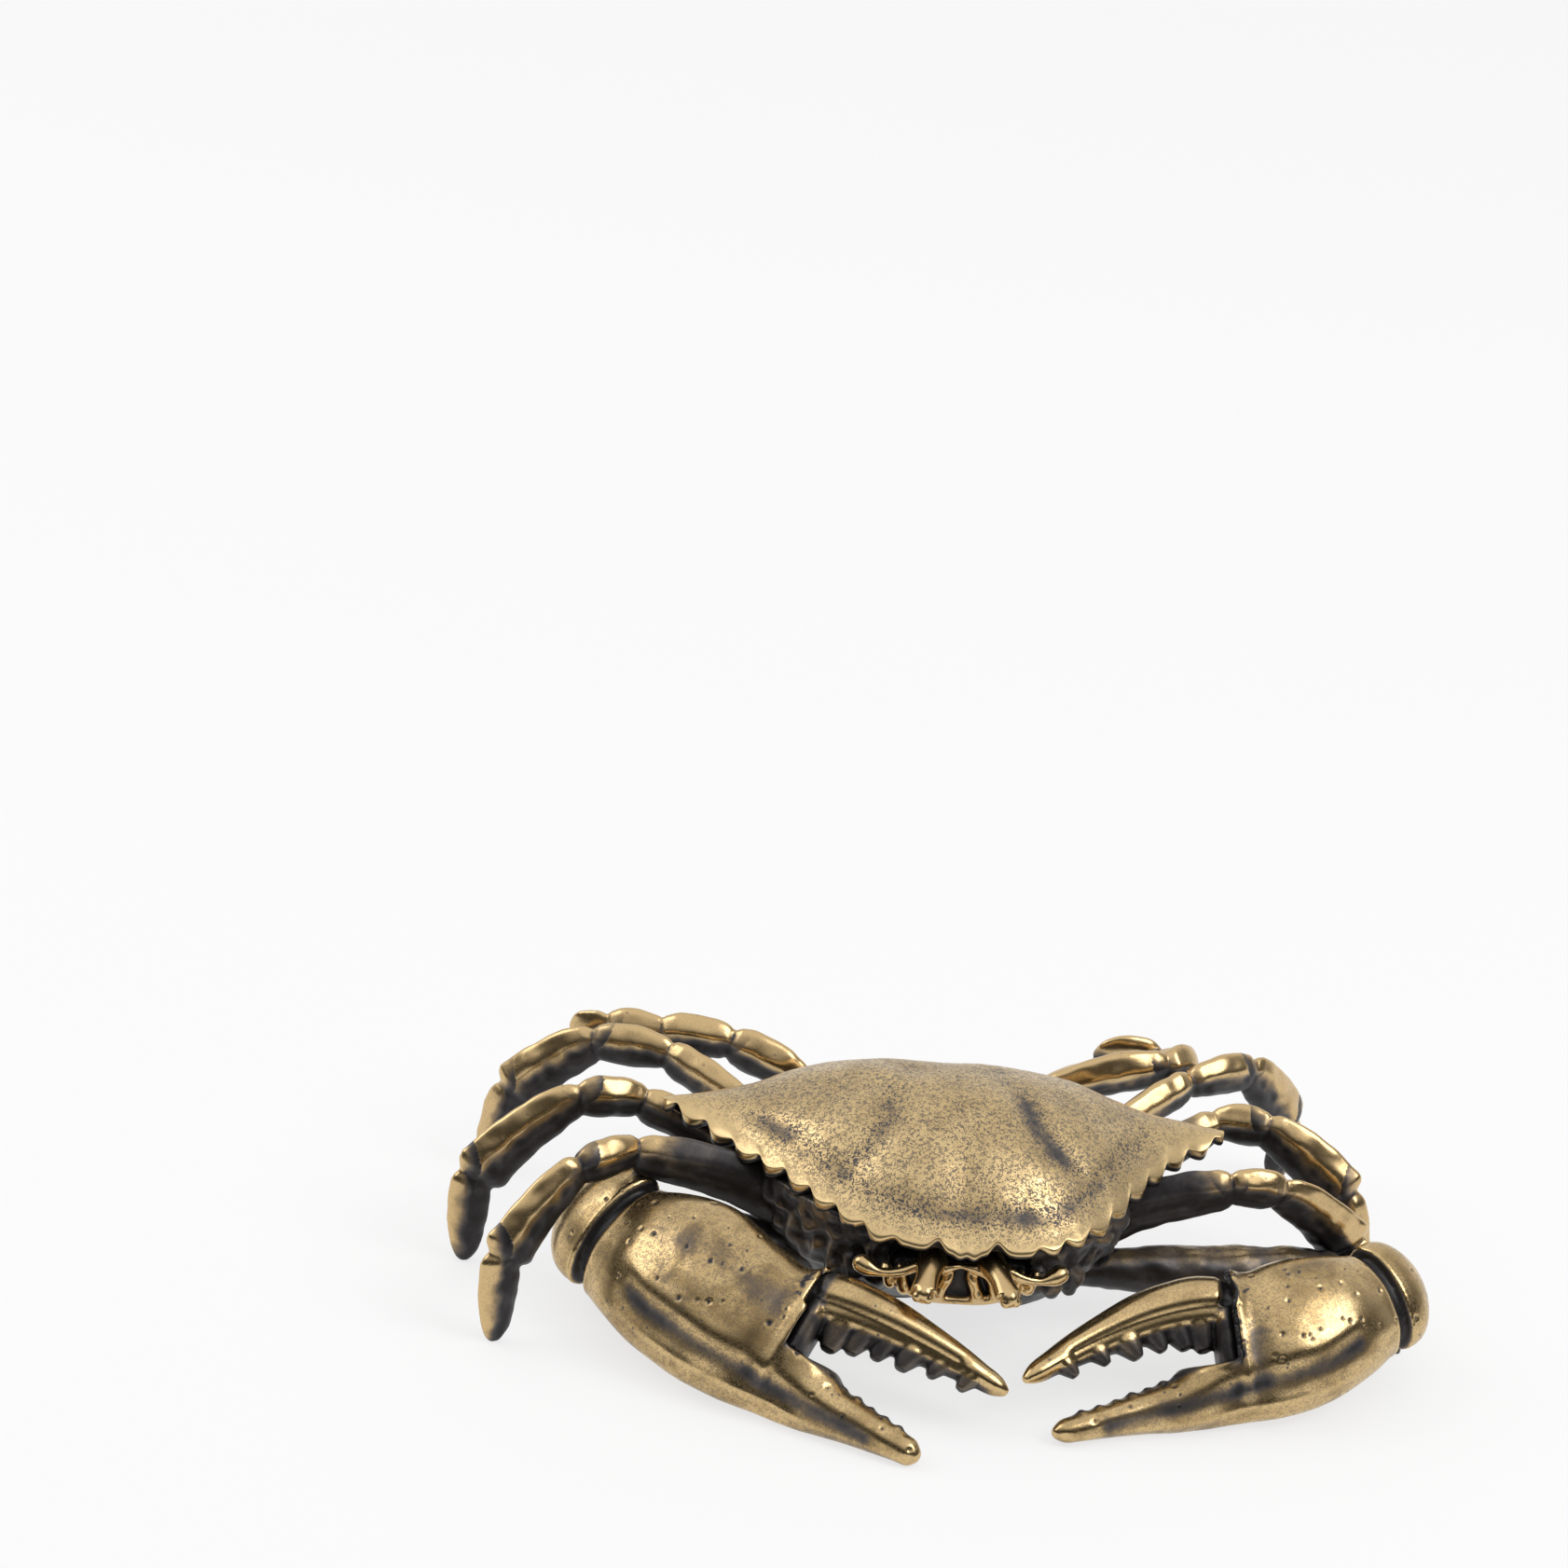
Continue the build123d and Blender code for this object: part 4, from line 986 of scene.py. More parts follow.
def makePalm(claw):
    stations = palmStations(claw)
    bm = bmesh.new()
    addLoft(bm, stations, claw.lower, claw.sign, jawSection)
    bite = claw.outer * palms["teethLean"] - claw.lower
    biteTeeth(bm, claw.fixedCurve, lambda share: fixedWide(share) * claw.halfWide, bite, palms["teeth"])
    mesh = castFrom(bm, claw.side + "PalmCast", claws["voxel"], palms["relax"])
    endPatinaAndShade = cutPalmEnd(claw, mesh)
    engrave(mesh, endArc(claw, palms["lipAt"]), palms["lipWidth"], -palms["lipRise"])
    engrave(mesh, endArc(claw, palms["dipAt"]), palms["dipWidth"], palms["lipDip"])
    keel = [middle + claw.across * (half * palms["keelAcross"]) + claw.over * (deep * palms["keelOver"])
            for middle, _, half, deep in stations[slice(*palms["keelRings"])]]
    engrave(mesh, keel, palms["keelWidth"], -palms["keelRise"])
    engrave(mesh, bandLine(claw, stations, 1.0), palms["ridgeWidth"], -palms["ridge"])
    engrave(mesh, bandLine(claw, stations, palms["troughAt"]), palms["troughWidth"], palms["trough"])
    lumpSurface(mesh, palms["waveScale"], palms["waves"])
    facing = normalsOf(mesh) @ np.array(claw.outer - claw.lower * palms["pitLift"])
    pitSurface(mesh, palms["pits"], claws["pitRadius"], claws["pitDepth"], facing > palms["pitFacing"])
    standOnTable(mesh)
    soot, darkReflection = palmPatinaAndShade(claw, mesh, stations)
    keepCast(f"{claw.side}_claw_palm", mesh, "claw_brass", np.maximum(endPatinaAndShade, soot) + darkReflection)


# The finger that would move on a live crab

fingers = {
    "shape": ((0.0, 0.78), (0.03, 0.93), (0.1, 1.0), (0.33, 0.95), (0.66, 0.66), (0.88, 0.42), (0.97, 0.28),
              (1.0, 0.12)),
    "steps": 30, "thinner": 0.25, "thinFrom": 0.1,   # towards the biting edge
    "teeth": {"count": 6, "span": (0.2, 0.85), "radius": 1.3, "tip": 0.5, "height": 1.6}, "teethLean": 0.25,
    "neck": (0.85, 0.8), "neckIn": 1.2, "neckOut": 0.6,
    "webOut": 0.6, "web": 1.0, "webThick": 0.68,   # the heel, down to the crotch
    # along the outer face
    "channel": 0.28, "channelAt": 0.2, "channelWidth": 0.55, "channelSpan": (0.08, 0.8), "channelSteps": 12,
    "voxel": 0.12, "relax": 4,
    # the root and heel are darkened where they sink into the palm, as painted shade together with patina
    "heelFar": 1.7, "heelNear": 1.3, "heelBite": (0.7, 1.0), "rootPatinaAndShade": 0.85, "rootPast": (1.2, 0.3),
    "biteSoot": 0.75, "biteEdge": (0.4, 0.75), "biteTo": (0.98, 0.9),
    # a painted highlight of gold and polish along a ledge of the outer face
    "ledgeAt": 0.22, "ledgeWidth": 0.3, "ledgeFrom": (0.1, 0.2), "ledgeHighlightGold": 0.5, "ledgeHighlight": 0.8,
    "backShine": 0.25, "backEdge": (0.4, 0.0),
}
fingerSwell = shapeCurve(fingers["shape"])


def fingerSection(x, y):  # x = 1 is the biting edge
    return x, y * (1 - fingers["thinner"] * ease(fingers["thinFrom"], 1.0, x))


def makeFinger(claw):
    half = claw.fingerHalf
    bm = bmesh.new()
    rows = hornRows(claw.fingerCurve, (half, half), fingers["shape"])
    addTube(bm, rows, claw.lower, claw.sign, fingerSection, fingers["steps"])
    bite = claw.lower + claw.outer * fingers["teethLean"]
    biteTeeth(bm, claw.fingerCurve, lambda share: half * fingerSwell(share), bite, fingers["teeth"])
    neckHalf = [half * size for size in fingers["neck"]]
    neckIn = claw.knuckle - claw.endAxis * fingers["neckIn"]
    neckOut = claw.fingerRoot + claw.endAxis * fingers["neckOut"]
    addTube(bm, [(neckIn, *neckHalf), (neckOut, *neckHalf)], claw.lower, claw.sign, None, crab["rodSteps"])
    web = np.array([claw.knuckle, claw.knuckle + (claw.crotch - claw.knuckle).project(claw.endLower)])
    web -= np.outer(endPlace(claw, web)[2] - fingers["webOut"], claw.endAxis)
    webHalf = (fingers["web"], fingers["webThick"] * claw.halfThick)
    webRows = [(Vector(point), *webHalf) for point in web]
    addTube(bm, webRows, claw.endAxis, claw.sign, None, crab["rodSteps"])
    mesh = castFrom(bm, claw.side + "FingerCast", fingers["voxel"], fingers["relax"])
    towards = claw.lower * fingers["channelAt"] + claw.outer
    channel = [bendPoint(claw.fingerCurve, share) + towards * (half * fingerSwell(share))
               for share in np.linspace(*fingers["channelSpan"], fingers["channelSteps"])]
    engrave(mesh, channel, fingers["channelWidth"], fingers["channel"])
    points = pointsOf(mesh)
    away, share = curveOffset(points, claw.fingerCurve)
    bite = (away @ np.array(claw.lower)) / (half * fingerSwell(share))
    # painted shade with patina at the root and heel
    fromWeb = lineDistance(points, web)
    atHeel = ease(fingers["heelFar"], fingers["heelNear"], fromWeb) * ease(*fingers["heelBite"], bite)
    past = endPlace(claw, points)[2]
    atRoot = fingers["rootPatinaAndShade"] * np.maximum(ease(*fingers["rootPast"], past), atHeel)
    onEdge = fingers["biteSoot"] * ease(*fingers["biteEdge"], bite) * ease(*fingers["biteTo"], share)
    # painted highlight along the ledge
    ledge = bump(bite, fingers["ledgeAt"], fingers["ledgeWidth"]) * ease(*fingers["ledgeFrom"], share)
    ledge *= normalsOf(mesh) @ np.array(claw.outer) > 0
    soot = np.maximum(onEdge, atRoot) - fingers["ledgeHighlightGold"] * ledge
    onBack = fingers["backShine"] * ease(*fingers["backEdge"], bite)
    polishAndHighlight = np.maximum(onBack, fingers["ledgeHighlight"] * ledge)
    keepCast(f"{claw.side}_claw_finger", mesh, "claw_brass", soot, polishAndHighlight)


# Wrist: a domed collar behind the palm, with a neck to the elbow

wrists = {
    # share of the collar's length, then of the palm's half sizes
    "rows": ((0.0, 0.60), (0.02, 0.665), (0.12, 0.70), (0.3, 0.70), (0.5, 0.645), (0.68, 0.53),
             (0.83, 0.38), (0.94, 0.21), (1.0, 0.08)),
    "steps": 24, "neckRadius": 1.3, "core": 0.54, "coreIn": 1.8,
    "relax": 4, "pits": 14, "pitFacing": 0.2,
    # the neck and the face in the groove are darkened, as patina and painted shade
    "neckPatinaAndShade": 0.7, "neckFar": 2.2, "neckNear": 1.4, "neckTo": 0.4, "faceDepth": 0.25,
}


def makeWrist(claw):
    bm = bmesh.new()
    rows = [(claw.wristFace + claw.wristAxis * (share * claw.data["wristLength"]), size * claw.halfWide,
             size * claw.halfThick) for share, size in wrists["rows"]]
    addTube(bm, rows, claw.lower, claw.sign, None, wrists["steps"])
    addRod(bm, claw.elbow, claw.wristHeart, wrists["neckRadius"])
    addBall(bm, claw.elbow, wrists["neckRadius"])
    core = (wrists["core"] * claw.halfWide, wrists["core"] * claw.halfThick)
    coreEnds = (claw.wristFace - claw.wristAxis * wrists["coreIn"], claw.wristHeart)
    addTube(bm, [(point, *core) for point in coreEnds], claw.lower, claw.sign, None, crab["rodSteps"])
    mesh = castFrom(bm, claw.side + "WristCast", claws["voxel"], wrists["relax"])
    facing = normalsOf(mesh)[:, 2]
    pitSurface(mesh, wrists["pits"], claws["pitRadius"], claws["pitDepth"], facing > wrists["pitFacing"])
    standOnTable(mesh)
    points = pointsOf(mesh)
    depth = (points - np.array(claw.wristFace)) @ np.array(claw.wristAxis)
    fromNeck = lineDistance(points, [claw.elbow, claw.elbow.lerp(claw.wristHeart, wrists["neckTo"])])
    onNeck = wrists["neckPatinaAndShade"] * ease(wrists["neckFar"], wrists["neckNear"], fromNeck)
    onFace = ease(wrists["faceDepth"], 0.0, depth)
    keepCast(f"{claw.side}_claw_wrist", mesh, "claw_brass", np.maximum(onFace, onNeck))


# Arm: from under the shell to the elbow

arms = {
    "root": (9.2, -4.4, 4.7), "radius": 1.65, "elbow": 0.9,
    "shape": ((0.0, 0.62), (0.25, 0.9), (0.75, 1.02), (0.95, 0.95), (1.0, 0.8)),
    "waves": ((1.6, 0.14), (0.9, 0.06)),   # scale and height of the unevenness
    # dark as patina and painted shade under the shell, with a painted highlight along its top
    "relax": 3, "soot": 0.85, "topHighlight": 0.3, "topFacing": (0.5, 0.95),
}


def makeArm(claw):
    bm = bmesh.new()
    x, y, z = arms["root"]
    root = spot(claw.sign * x, y, z)
    reach = (claw.elbow - root).normalized()
    straight = (root - reach, (root + claw.elbow) / 2, claw.elbow)
    addTube(bm, hornRows(straight, (arms["radius"],) * 2, arms["shape"]), up)
    addBall(bm, claw.elbow, arms["radius"] * arms["elbow"])
    mesh = castFrom(bm, claw.side + "ArmCast", claws["voxel"], arms["relax"])
    for scale, height in arms["waves"]:
        lumpSurface(mesh, scale, height)
    # painted highlight on the faces that look up
    onTop = ease(*arms["topFacing"], normalsOf(mesh)[:, 2])
    keepCast(f"{claw.side}_claw_arm", mesh, "claw_brass", arms["soot"] - arms["topHighlight"] * onTop)


for side in sides:
    claw = clawFrame(side)
    for make in (makePalm, makeFinger, makeWrist, makeArm):
        make(claw)
print("claws modelled")


# Painted shade and wear: how much sky the crab and the table hide from each point, painted as shade; how
# deep in a recess each point lies; and how much hands and polish rub it, with painted highlights added

shadeAndWear = {
    "samples": 2500, "spacing": 8, "rays": 14, "reach": 5.0,
    "lift": 0.08, "grazing": 0.05,              # where rays start, and the flattest that count
    "farFade": 0.5, "tableShade": 0.45,         # how much less a distant hit and the table count
    "neighbours": 3, "nearest": 0.05,           # samples that each point is read from
    "fineRounds": 4, "broadRounds": 36,
    "fineGain": 14.0, "broadGain": 2.2, "shadeFrom": 0.38, "shadeTo": 0.92,
    "hollowGain": 1.1, "belowDarkening": 0.3, "belowTo": -0.8,
}


def allFaces():
    verts, polygons, offset = [], [], 0
    for cast in casts.values():
        verts.append(pointsOf(cast["mesh"]))
        polygons += [[offset + index for index in face.vertices] for face in cast["mesh"].polygons]
        offset += len(cast["mesh"].vertices)
    return BVHTree.FromPolygons(np.concatenate(verts).tolist(), polygons)


def shadeOf(mesh, tree, directions):  # share of the sky that the crab itself and the table hide, painted into the colour as shade
    points, normals = pointsOf(mesh), normalsOf(mesh)
    count = min(max(shadeAndWear["samples"], len(points) // shadeAndWear["spacing"]), len(points))
    picked = rng.choice(len(points), count, replace=False)
    near = KDTree(len(picked))
    values = np.empty(len(picked))
    for slot, index in enumerate(picked):
        normal = Vector(normals[index])
        origin = Vector(points[index]) + normal * shadeAndWear["lift"]
        hits = weights = 0.0
        for direction in directions:
            facing = direction.dot(normal)
            if facing < shadeAndWear["grazing"]:
                continue
            weights += facing
            gap = tree.ray_cast(origin, direction, shadeAndWear["reach"])[3]
            if gap is not None:
                hits += facing * (1 - shadeAndWear["farFade"] * gap / shadeAndWear["reach"])
            elif direction.z < 0 and origin.z / -direction.z < shadeAndWear["reach"]:
                hits += facing * shadeAndWear["tableShade"]
        values[slot] = hits / max(weights, 1e-6)
        near.insert(points[index], slot)
    near.balance()
    shade = np.empty(len(points))
    for index, point in enumerate(points):
        found = near.find_n(point, shadeAndWear["neighbours"])
        shares = [1 / (gap + shadeAndWear["nearest"]) for _, _, gap in found]
        total = sum(values[slot] * share for (_, slot, _), share in zip(found, shares))
        shade[index] = total / sum(shares)
    return shade


def paintShadeAndWear(cast, tree, directions):
    mesh = cast["mesh"]
    points, normals, edges = pointsOf(mesh), normalsOf(mesh), edgesOf(mesh)
    fine = np.einsum("ij,ij->i", normals, neighbourMean(points, edges, shadeAndWear["fineRounds"]) - points)
    broad = np.einsum("ij,ij->i", normals, neighbourMean(points, edges, shadeAndWear["broadRounds"]) - points)
    shade = ease(shadeAndWear["shadeFrom"], shadeAndWear["shadeTo"], shadeOf(mesh, tree, directions))
    hollow = np.clip(fine * shadeAndWear["fineGain"] + broad * shadeAndWear["broadGain"], -1, 1)
    # darker on faces that look down
    below = shadeAndWear["belowDarkening"] * ease(0.0, shadeAndWear["belowTo"], normals[:, 2])
    # recess: painted shade from the hidden sky, patina in hollows, darker down-facing faces and each piece's
    # own patina and shade; rub: wear on raised parts with polish and painted highlights
    recess = np.clip(shade + np.maximum(hollow, 0) * shadeAndWear["hollowGain"] + below + cast["soot"], 0, 1)
    rub = np.clip(np.maximum(-hollow, 0) * shadeAndWear["hollowGain"] * (1 - shade) + cast["polishAndHighlight"], 0, 1)
    for name, values in (("recess", recess), ("rub", rub)):
        layer = mesh.attributes.new(name, "FLOAT", "POINT")
        layer.data.foreach_set("value", values.astype(np.float32))


def spreadDirections(count):  # evenly spread over the sphere
    turn = math.pi * (3 - math.sqrt(5))
    result = []
    for index in range(count):
        z = 1 - 2 * (index + 0.5) / count
        radius = math.sqrt(1 - z * z)
        result.append(Vector((radius * math.cos(turn * index), radius * math.sin(turn * index), z)))
    return result


sightTree = allFaces()
rays = spreadDirections(shadeAndWear["rays"] * 2)
for cast in casts.values():
    paintShadeAndWear(cast, sightTree, rays)
print("wear laid on")


# Finishes

def newGroup(name, inputs, outputs):  # inputs by their first value, which gives the kind of socket
    kinds = {float: "NodeSocketFloat", tuple: "NodeSocketColor", type(None): "NodeSocketVector"}
    group = bpy.data.node_groups.new(name, "ShaderNodeTree")
    for label, value in inputs.items():
        socket = group.interface.new_socket(name=label, in_out="INPUT", socket_type=kinds[type(value)])
        if value is not None:
            socket.default_value = value
    for label in outputs:
        kind = kinds[tuple if label == "Color" else float]
        group.interface.new_socket(name=label, in_out="OUTPUT", socket_type=kind)
    return group, group.nodes.new("NodeGroupInput"), group.nodes.new("NodeGroupOutput")


def link(tree, source, target):
    tree.links.new(source, target)


def mathNode(tree, operation, first, second=None, clamp=False):
    node = tree.nodes.new("ShaderNodeMath")
    node.operation = operation
    node.use_clamp = clamp
    for socket, value in zip(node.inputs, (first, second)):
        if value is None:
            continue
        if isinstance(value, (int, float)):
            socket.default_value = value
        else:
            link(tree, value, socket)
    return node.outputs[0]


def rampNode(tree, value, low, high, outLow=0.0, outHigh=1.0):
    node = tree.nodes.new("ShaderNodeMapRange")
    node.interpolation_type = "SMOOTHSTEP"
    link(tree, value, node.inputs["Value"])
    for label, number in (("From Min", low), ("From Max", high), ("To Min", outLow), ("To Max", outHigh)):
        node.inputs[label].default_value = number
    return node.outputs["Result"]


def mixColour(tree, factor, first, second):
    node = tree.nodes.new("ShaderNodeMix")
    node.data_type = "RGBA"
    sockets = (node.inputs["Factor"], node.inputs[6], node.inputs[7])
    for socket, value in zip(sockets, (factor, first, second)):
        if isinstance(value, (tuple, float)):
            socket.default_value = value
        else:
            link(tree, value, socket)
    return node.outputs[2]


def noiseNode(tree, vector, scale, detail, roughness=0.55, distortion=0.0):
    node = tree.nodes.new("ShaderNodeTexNoise")
    link(tree, vector, node.inputs["Vector"])
    node.inputs["Scale"].default_value = scale
    node.inputs["Detail"].default_value = detail
    node.inputs["Roughness"].default_value = roughness
    node.inputs["Distortion"].default_value = distortion
    return node.outputs["Fac"]


castLook = {
    # scale and detail of each noise, some with roughness and distortion; and the range that is drawn out
    "stipple": (5200.0, 1.5, 0.5, 1.2), "stippleRange": (0.485, 0.56),
    "cells": 1300.0, "chosenRange": (0.45, 0.50), "pitRange": (0.30, 0.20),
    "ragged": (6500.0, 2.0), "raggedness": 0.22,
    "patches": (210.0, 2.0), "patchRange": (0.42, 0.56),   # pits keep to patches of the casting
    "mottle": (330.0, 4.0, 0.6, 0.4), "mottleRange": (0.36, 0.66),
    "grain": (5200.0, 2.0),
}


def castSkinGroup():  # stipple, casting pits and slow mottling, all in object space
    group, given, put = newGroup("castSkin", {"Vector": None}, ("Stipple", "Pits", "Mottle", "Grain"))
    vector = given.outputs["Vector"]
    stipple = rampNode(group, noiseNode(group, vector, *castLook["stipple"]), *castLook["stippleRange"])
    cells = group.nodes.new("ShaderNodeTexVoronoi")
    link(group, vector, cells.inputs["Vector"])
    cells.inputs["Scale"].default_value = castLook["cells"]
    split = group.nodes.new("ShaderNodeSeparateColor")
    link(group, cells.outputs["Color"], split.inputs["Color"])
    chosen = rampNode(group, split.outputs["Red"], *castLook["chosenRange"])
    ragged = noiseNode(group, vector, *castLook["ragged"])
    ragged = mathNode(group, "MULTIPLY", ragged, castLook["raggedness"])
    spread = mathNode(group, "ADD", cells.outputs["Distance"], ragged)
    patches = rampNode(group, noiseNode(group, vector, *castLook["patches"]), *castLook["patchRange"])
    pits = mathNode(group, "MULTIPLY", rampNode(group, spread, *castLook["pitRange"]), chosen)
    pits = mathNode(group, "MULTIPLY", pits, patches)
    mottle = rampNode(group, noiseNode(group, vector, *castLook["mottle"]), *castLook["mottleRange"])
    grain = noiseNode(group, vector, *castLook["grain"])
    for label, value in (("Stipple", stipple), ("Pits", pits), ("Mottle", mottle), ("Grain", grain)):
        link(group, value, put.inputs[label])
    return group


ageing = {
    "recessBrown": 0.9, "unevenness": 0.22, "deepRange": (0.2, 0.82), "blackRange": (0.6, 1.0),
    "darkRough": 0.1, "brownRough": 0.1, "darkDull": 0.6,
    "inputs": {
        "Recess": 0.0, "Rub": 0.0, "Stipple": 0.0, "Pits": 0.0, "Mottle": 0.0,
        "Stipple Depth": 0.5, "Tarnish": 0.5, "Smoothest": 0.2,
        "Polished": (0.8, 0.6, 0.3, 1), "Brown": (0.3, 0.2, 0.1, 1),
        "Grey": (0.1, 0.1, 0.1, 1), "Black": (0.01, 0.01, 0.01, 1),
    },
}


def agedBrassGroup():  # brass, browned where it isn't rubbed, with grey and black patina in its recesses; as recess carries painted shade and the rubbed value painted highlights, these are painted here too
    group, given, put = newGroup("agedBrass", ageing["inputs"], ("Color", "Roughness", "Metallic", "Dark"))
    ins = given.outputs
    brown = mathNode(group, "MULTIPLY", ins["Mottle"], ins["Tarnish"])
    brown = mathNode(group, "ADD", brown, mathNode(group, "MULTIPLY", ins["Recess"], ageing["recessBrown"]))
    brown = mathNode(group, "SUBTRACT", brown, ins["Rub"], True)
    metal = mixColour(group, brown, ins["Polished"], ins["Brown"])
    uneven = mathNode(group, "SUBTRACT", ins["Mottle"], 0.5)
    depth = mathNode(group, "ADD", ins["Recess"], mathNode(group, "MULTIPLY", uneven, ageing["unevenness"]))
    deep = rampNode(group, depth, *ageing["deepRange"])
    patina = mixColour(group, rampNode(group, depth, *ageing["blackRange"]), ins["Grey"], ins["Black"])
    bare = mathNode(group, "SUBTRACT", 1.0, ins["Rub"], True)
    thick = mathNode(group, "MULTIPLY", ins["Recess"], ins["Stipple Depth"])
    thick = mathNode(group, "ADD", ins["Stipple Depth"], thick, True)
    dots = mathNode(group, "MULTIPLY", mathNode(group, "MULTIPLY", ins["Stipple"], thick), bare)
    dots = mathNode(group, "MAXIMUM", dots, ins["Pits"])
    colour = mixColour(group, deep, mixColour(group, dots, metal, ins["Grey"]), patina)
    dark = mathNode(group, "MAXIMUM", deep, dots)
    rough = mathNode(group, "ADD", ins["Smoothest"], mathNode(group, "MULTIPLY", dark, ageing["darkRough"]))
    rough = mathNode(group, "ADD", rough, mathNode(group, "MULTIPLY", brown, ageing["brownRough"]))
    dull = mathNode(group, "MULTIPLY", dark, ageing["darkDull"])
    metallic = mathNode(group, "SUBTRACT", 1.0, dull)
    for label, value in (("Color", colour), ("Roughness", rough), ("Metallic", metallic), ("Dark", dark)):
        link(group, value, put.inputs[label])
    return group


finishes = {
    "shell_brass": {"stipple": 0.74, "tarnish": 0.6, "pits": 0.0, "bump": 0.3, "smoothest": 0.3,
                    "polished": (0.70, 0.515, 0.265), "brown": (0.47, 0.335, 0.165)},
    "claw_brass": {"stipple": 0.36, "tarnish": 0.85, "pits": 0.9, "bump": 0.12, "smoothest": 0.2,
                   "polished": (0.66, 0.475, 0.235), "brown": (0.34, 0.23, 0.10)},
    "limb_brass": {"stipple": 0.2, "tarnish": 0.7, "pits": 0.4, "bump": 0.18, "smoothest": 0.24,
                   "polished": (0.65, 0.465, 0.235), "brown": (0.34, 0.23, 0.11)},
    "grey": (0.082, 0.075, 0.077), "black": (0.018, 0.016, 0.016),
    "grainHeight": -0.25, "reliefDepth": 0.06,   # of the relief that the shader adds, the depth in mm
}
castSkin = castSkinGroup()
agedBrass = agedBrassGroup()


def brassMaterial(slotName):
    look = finishes[slotName]
    material = bpy.data.materials.new(slotName)
    material.use_nodes = True
    tree = material.node_tree
    tree.nodes.clear()
    output = tree.nodes.new("ShaderNodeOutputMaterial")
    shader = tree.nodes.new("ShaderNodeBsdfPrincipled")
    link(tree, shader.outputs["BSDF"], output.inputs["Surface"])
    place = tree.nodes.new("ShaderNodeTexCoord")
    skin = tree.nodes.new("ShaderNodeGroup")
    skin.node_tree = castSkin
    link(tree, place.outputs["Object"], skin.inputs["Vector"])
    aged = tree.nodes.new("ShaderNodeGroup")
    aged.node_tree = agedBrass
    for label in ("recess", "rub"):
        layer = tree.nodes.new("ShaderNodeAttribute")
        layer.attribute_name = label
        link(tree, layer.outputs["Fac"], aged.inputs[label.capitalize()])
    for label in ("Stipple", "Mottle"):
        link(tree, skin.outputs[label], aged.inputs[label])
    link(tree, mathNode(tree, "MULTIPLY", skin.outputs["Pits"], look["pits"]), aged.inputs["Pits"])
    aged.inputs["Stipple Depth"].default_value = look["stipple"]
    aged.inputs["Tarnish"].default_value = look["tarnish"]
    aged.inputs["Smoothest"].default_value = look["smoothest"]
    for label in ("Polished", "Brown"):
        aged.inputs[label].default_value = (*look[label.lower()], 1.0)
    for label in ("Grey", "Black"):
        aged.inputs[label].default_value = (*finishes[label.lower()], 1.0)
    for source, target in (("Color", "Base Color"), ("Roughness", "Roughness"), ("Metallic", "Metallic")):
        link(tree, aged.outputs[source], shader.inputs[target])
    grain = mathNode(tree, "MULTIPLY", skin.outputs["Grain"], finishes["grainHeight"])
    relief = tree.nodes.new("ShaderNodeBump")
    relief.invert = True
    relief.inputs["Strength"].default_value = look["bump"]
    relief.inputs["Distance"].default_value = finishes["reliefDepth"] * mm
    link(tree, mathNode(tree, "ADD", aged.outputs["Dark"], grain), relief.inputs["Height"])
    link(tree, relief.outputs["Normal"], shader.inputs["Normal"])
    return material


materials = {name: brassMaterial(name) for name in ("shell_brass", "claw_brass", "limb_brass")}


def pieceName(node):
    words = node.split("_")
    return words[0] + "".join(word.capitalize() for word in words[1:]) + "Brass"


for node, cast in casts.items():
    mesh = cast["mesh"]
    mesh.transform(Matrix.Scale(mm, 4))
    mesh.polygons.foreach_set("use_smooth", np.ones(len(mesh.polygons), dtype=bool))
    mesh.materials.append(materials[cast["slot"]])
    piece = bpy.data.objects.new(pieceName(node), mesh)
    bpy.context.scene.collection.objects.link(piece)
    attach(piece, "root")
    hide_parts(node)
    print("piece", piece.name, len(mesh.polygons), "faces")


# Stage, light and camera

stage = {
    "floorSize": 8.0, "floorColour": (0.92, 0.92, 0.92), "floorGlow": 0.72,
    "worldLow": 0.04, "worldTop": 0.95, "worldBack": 0.85,   # light from in front, overhead and behind
    "topRange": (0.45, 0.9), "backRange": (-0.1, 0.7), "lampAim": (0, -4, 6),
    "lamps": (  # place from the crab in mm, size in mm, watts
        ((-350, 70, 290), 260, 0.42),
        ((320, -150, 360), 260, 0.78),
    ),
}


def makeFloor():
    bm = bmesh.new()
    bmesh.ops.create_grid(bm, x_segments=1, y_segments=1, size=stage["floorSize"] / 2)
    mesh = bpy.data.meshes.new("floor")
    bm.to_mesh(mesh)
    bm.free()
    material = bpy.data.materials.new("paleFloor")
    material.use_nodes = True
    tree = material.node_tree
    tree.nodes.clear()
    output = tree.nodes.new("ShaderNodeOutputMaterial")
    matte = tree.nodes.new("ShaderNodeBsdfDiffuse")
    matte.inputs["Color"].default_value = (*stage["floorColour"], 1.0)
    glow = tree.nodes.new("ShaderNodeEmission")
    glow.inputs["Color"].default_value = (1, 1, 1, 1)
    mixer = tree.nodes.new("ShaderNodeMixShader")
    path = tree.nodes.new("ShaderNodeLightPath")
    seen = mathNode(tree, "MAXIMUM", path.outputs["Is Camera Ray"], path.outputs["Is Glossy Ray"])
    seen = mathNode(tree, "MAXIMUM", seen, path.outputs["Is Transmission Ray"])
    link(tree, mathNode(tree, "MULTIPLY", seen, stage["floorGlow"]), mixer.inputs[0])
    link(tree, matte.outputs[0], mixer.inputs[1])
    link(tree, glow.outputs[0], mixer.inputs[2])
    link(tree, mixer.outputs[0], output.inputs["Surface"])
    mesh.materials.append(material)
    floor = bpy.data.objects.new("floor", mesh)
    bpy.context.scene.collection.objects.link(floor)


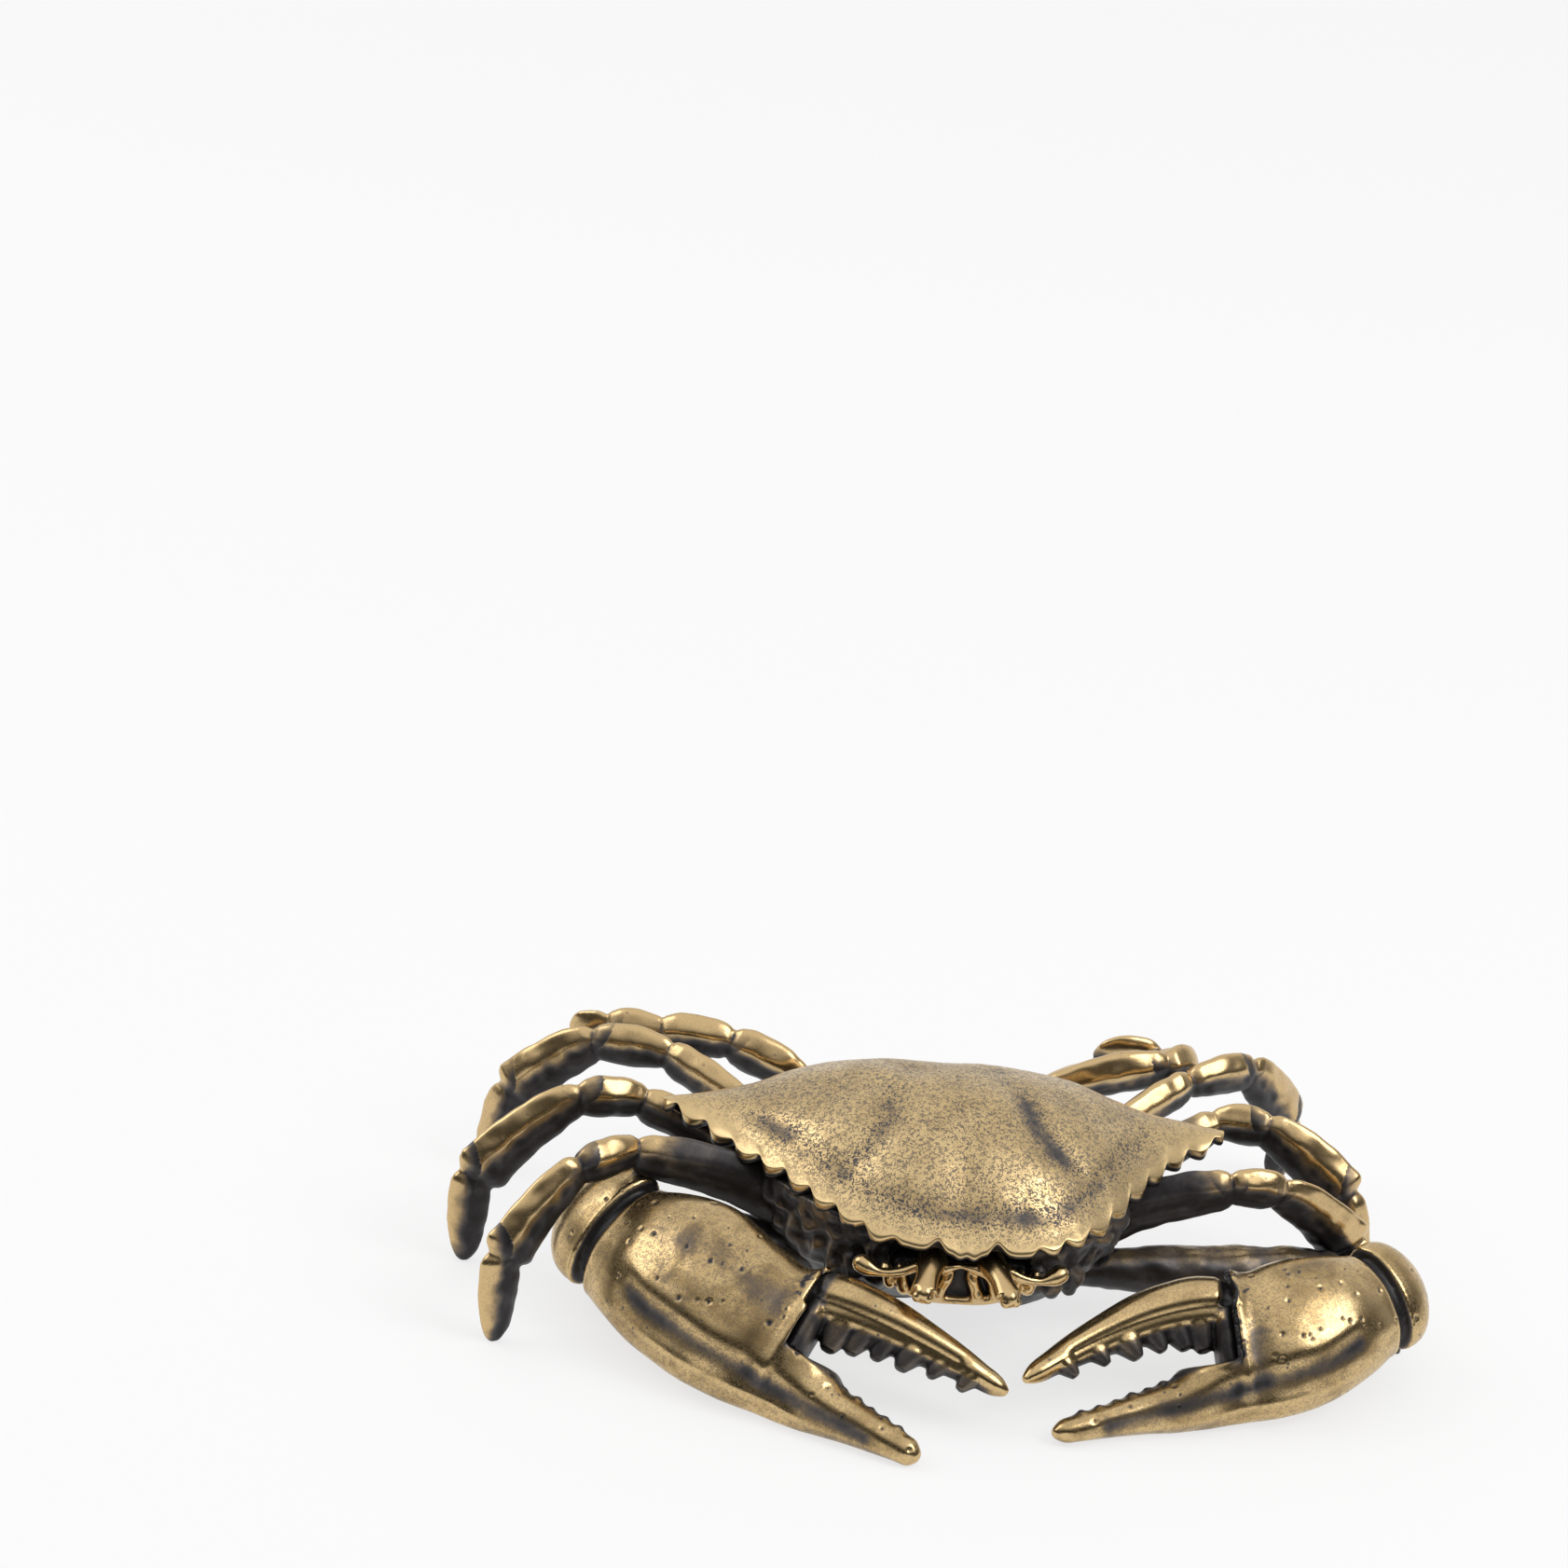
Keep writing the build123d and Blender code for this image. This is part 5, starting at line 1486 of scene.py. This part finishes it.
def makeLights():
    world = bpy.data.worlds.new("studio")
    bpy.context.scene.world = world
    world.use_nodes = True
    tree = world.node_tree
    sky = tree.nodes["Background"]
    sky.inputs["Color"].default_value = (1, 1, 1, 1)
    way = tree.nodes.new("ShaderNodeSeparateXYZ")
    link(tree, tree.nodes.new("ShaderNodeTexCoord").outputs["Generated"], way.inputs[0])
    top = rampNode(tree, way.outputs["Z"], *stage["topRange"], stage["worldLow"], stage["worldTop"])
    back = rampNode(tree, way.outputs["Y"], *stage["backRange"], stage["worldLow"], stage["worldBack"])
    link(tree, mathNode(tree, "MAXIMUM", top, back), sky.inputs["Strength"])
    aim = spot(*stage["lampAim"]) * mm
    for index, (place, size, watts) in enumerate(stage["lamps"]):
        lamp = bpy.data.lights.new(f"softbox{index}", "AREA")
        lamp.size = size * mm
        lamp.energy = watts
        box = bpy.data.objects.new(lamp.name, lamp)
        box.location = Vector(place) * mm
        box.rotation_euler = (aim - box.location).to_track_quat("-Z", "Y").to_euler()
        bpy.context.scene.collection.objects.link(box)


view = {
    "azimuth": -11.43, "elevation": 29.91, "roll": 9.11,   # degrees, from the photograph
    "distance": 420.0, "pixelsPerMm": 16.0, "framePixels": 1682.0, "sensor": 36.0, "clipStart": 0.01,
    "aim": (0.0, 0.0, 8.0), "aimPixel": (1006.2, 1270.2),  # where the aim lands in the frame
}


def makeCamera():
    azimuth, elevation, roll = (math.radians(view[key]) for key in ("azimuth", "elevation", "roll"))
    level = Vector((math.cos(azimuth), math.sin(azimuth), 0))
    towards = Vector((math.sin(azimuth), -math.cos(azimuth), 0))
    back = towards * math.cos(elevation) + up * math.sin(elevation)
    rise = back.cross(level)
    right = level * math.cos(roll) + rise * math.sin(roll)
    above = rise * math.cos(roll) - level * math.sin(roll)
    focal = view["distance"] * view["pixelsPerMm"]
    offRight = view["aimPixel"][0] - view["framePixels"] / 2
    offDown = view["aimPixel"][1] - view["framePixels"] / 2
    ahead = (above * offDown - right * offRight - back * focal).normalized()
    lens = bpy.data.cameras.new("photoCamera")
    lens.sensor_width = view["sensor"]
    lens.lens = view["sensor"] * focal / view["framePixels"]
    lens.clip_start = view["clipStart"]
    camera = bpy.data.objects.new("photoCamera", lens)
    sideways = ahead.cross(above).normalized()
    turn = Matrix((sideways, sideways.cross(ahead), -ahead)).transposed().to_4x4()
    eye = (spot(*view["aim"]) + back * view["distance"]) * mm
    camera.matrix_world = Matrix.Translation(eye) @ turn
    bpy.context.scene.collection.objects.link(camera)
    bpy.context.scene.camera = camera


makeFloor()
makeLights()
makeCamera()
bpy.context.scene.view_settings.view_transform = "Standard"
print("stage set")
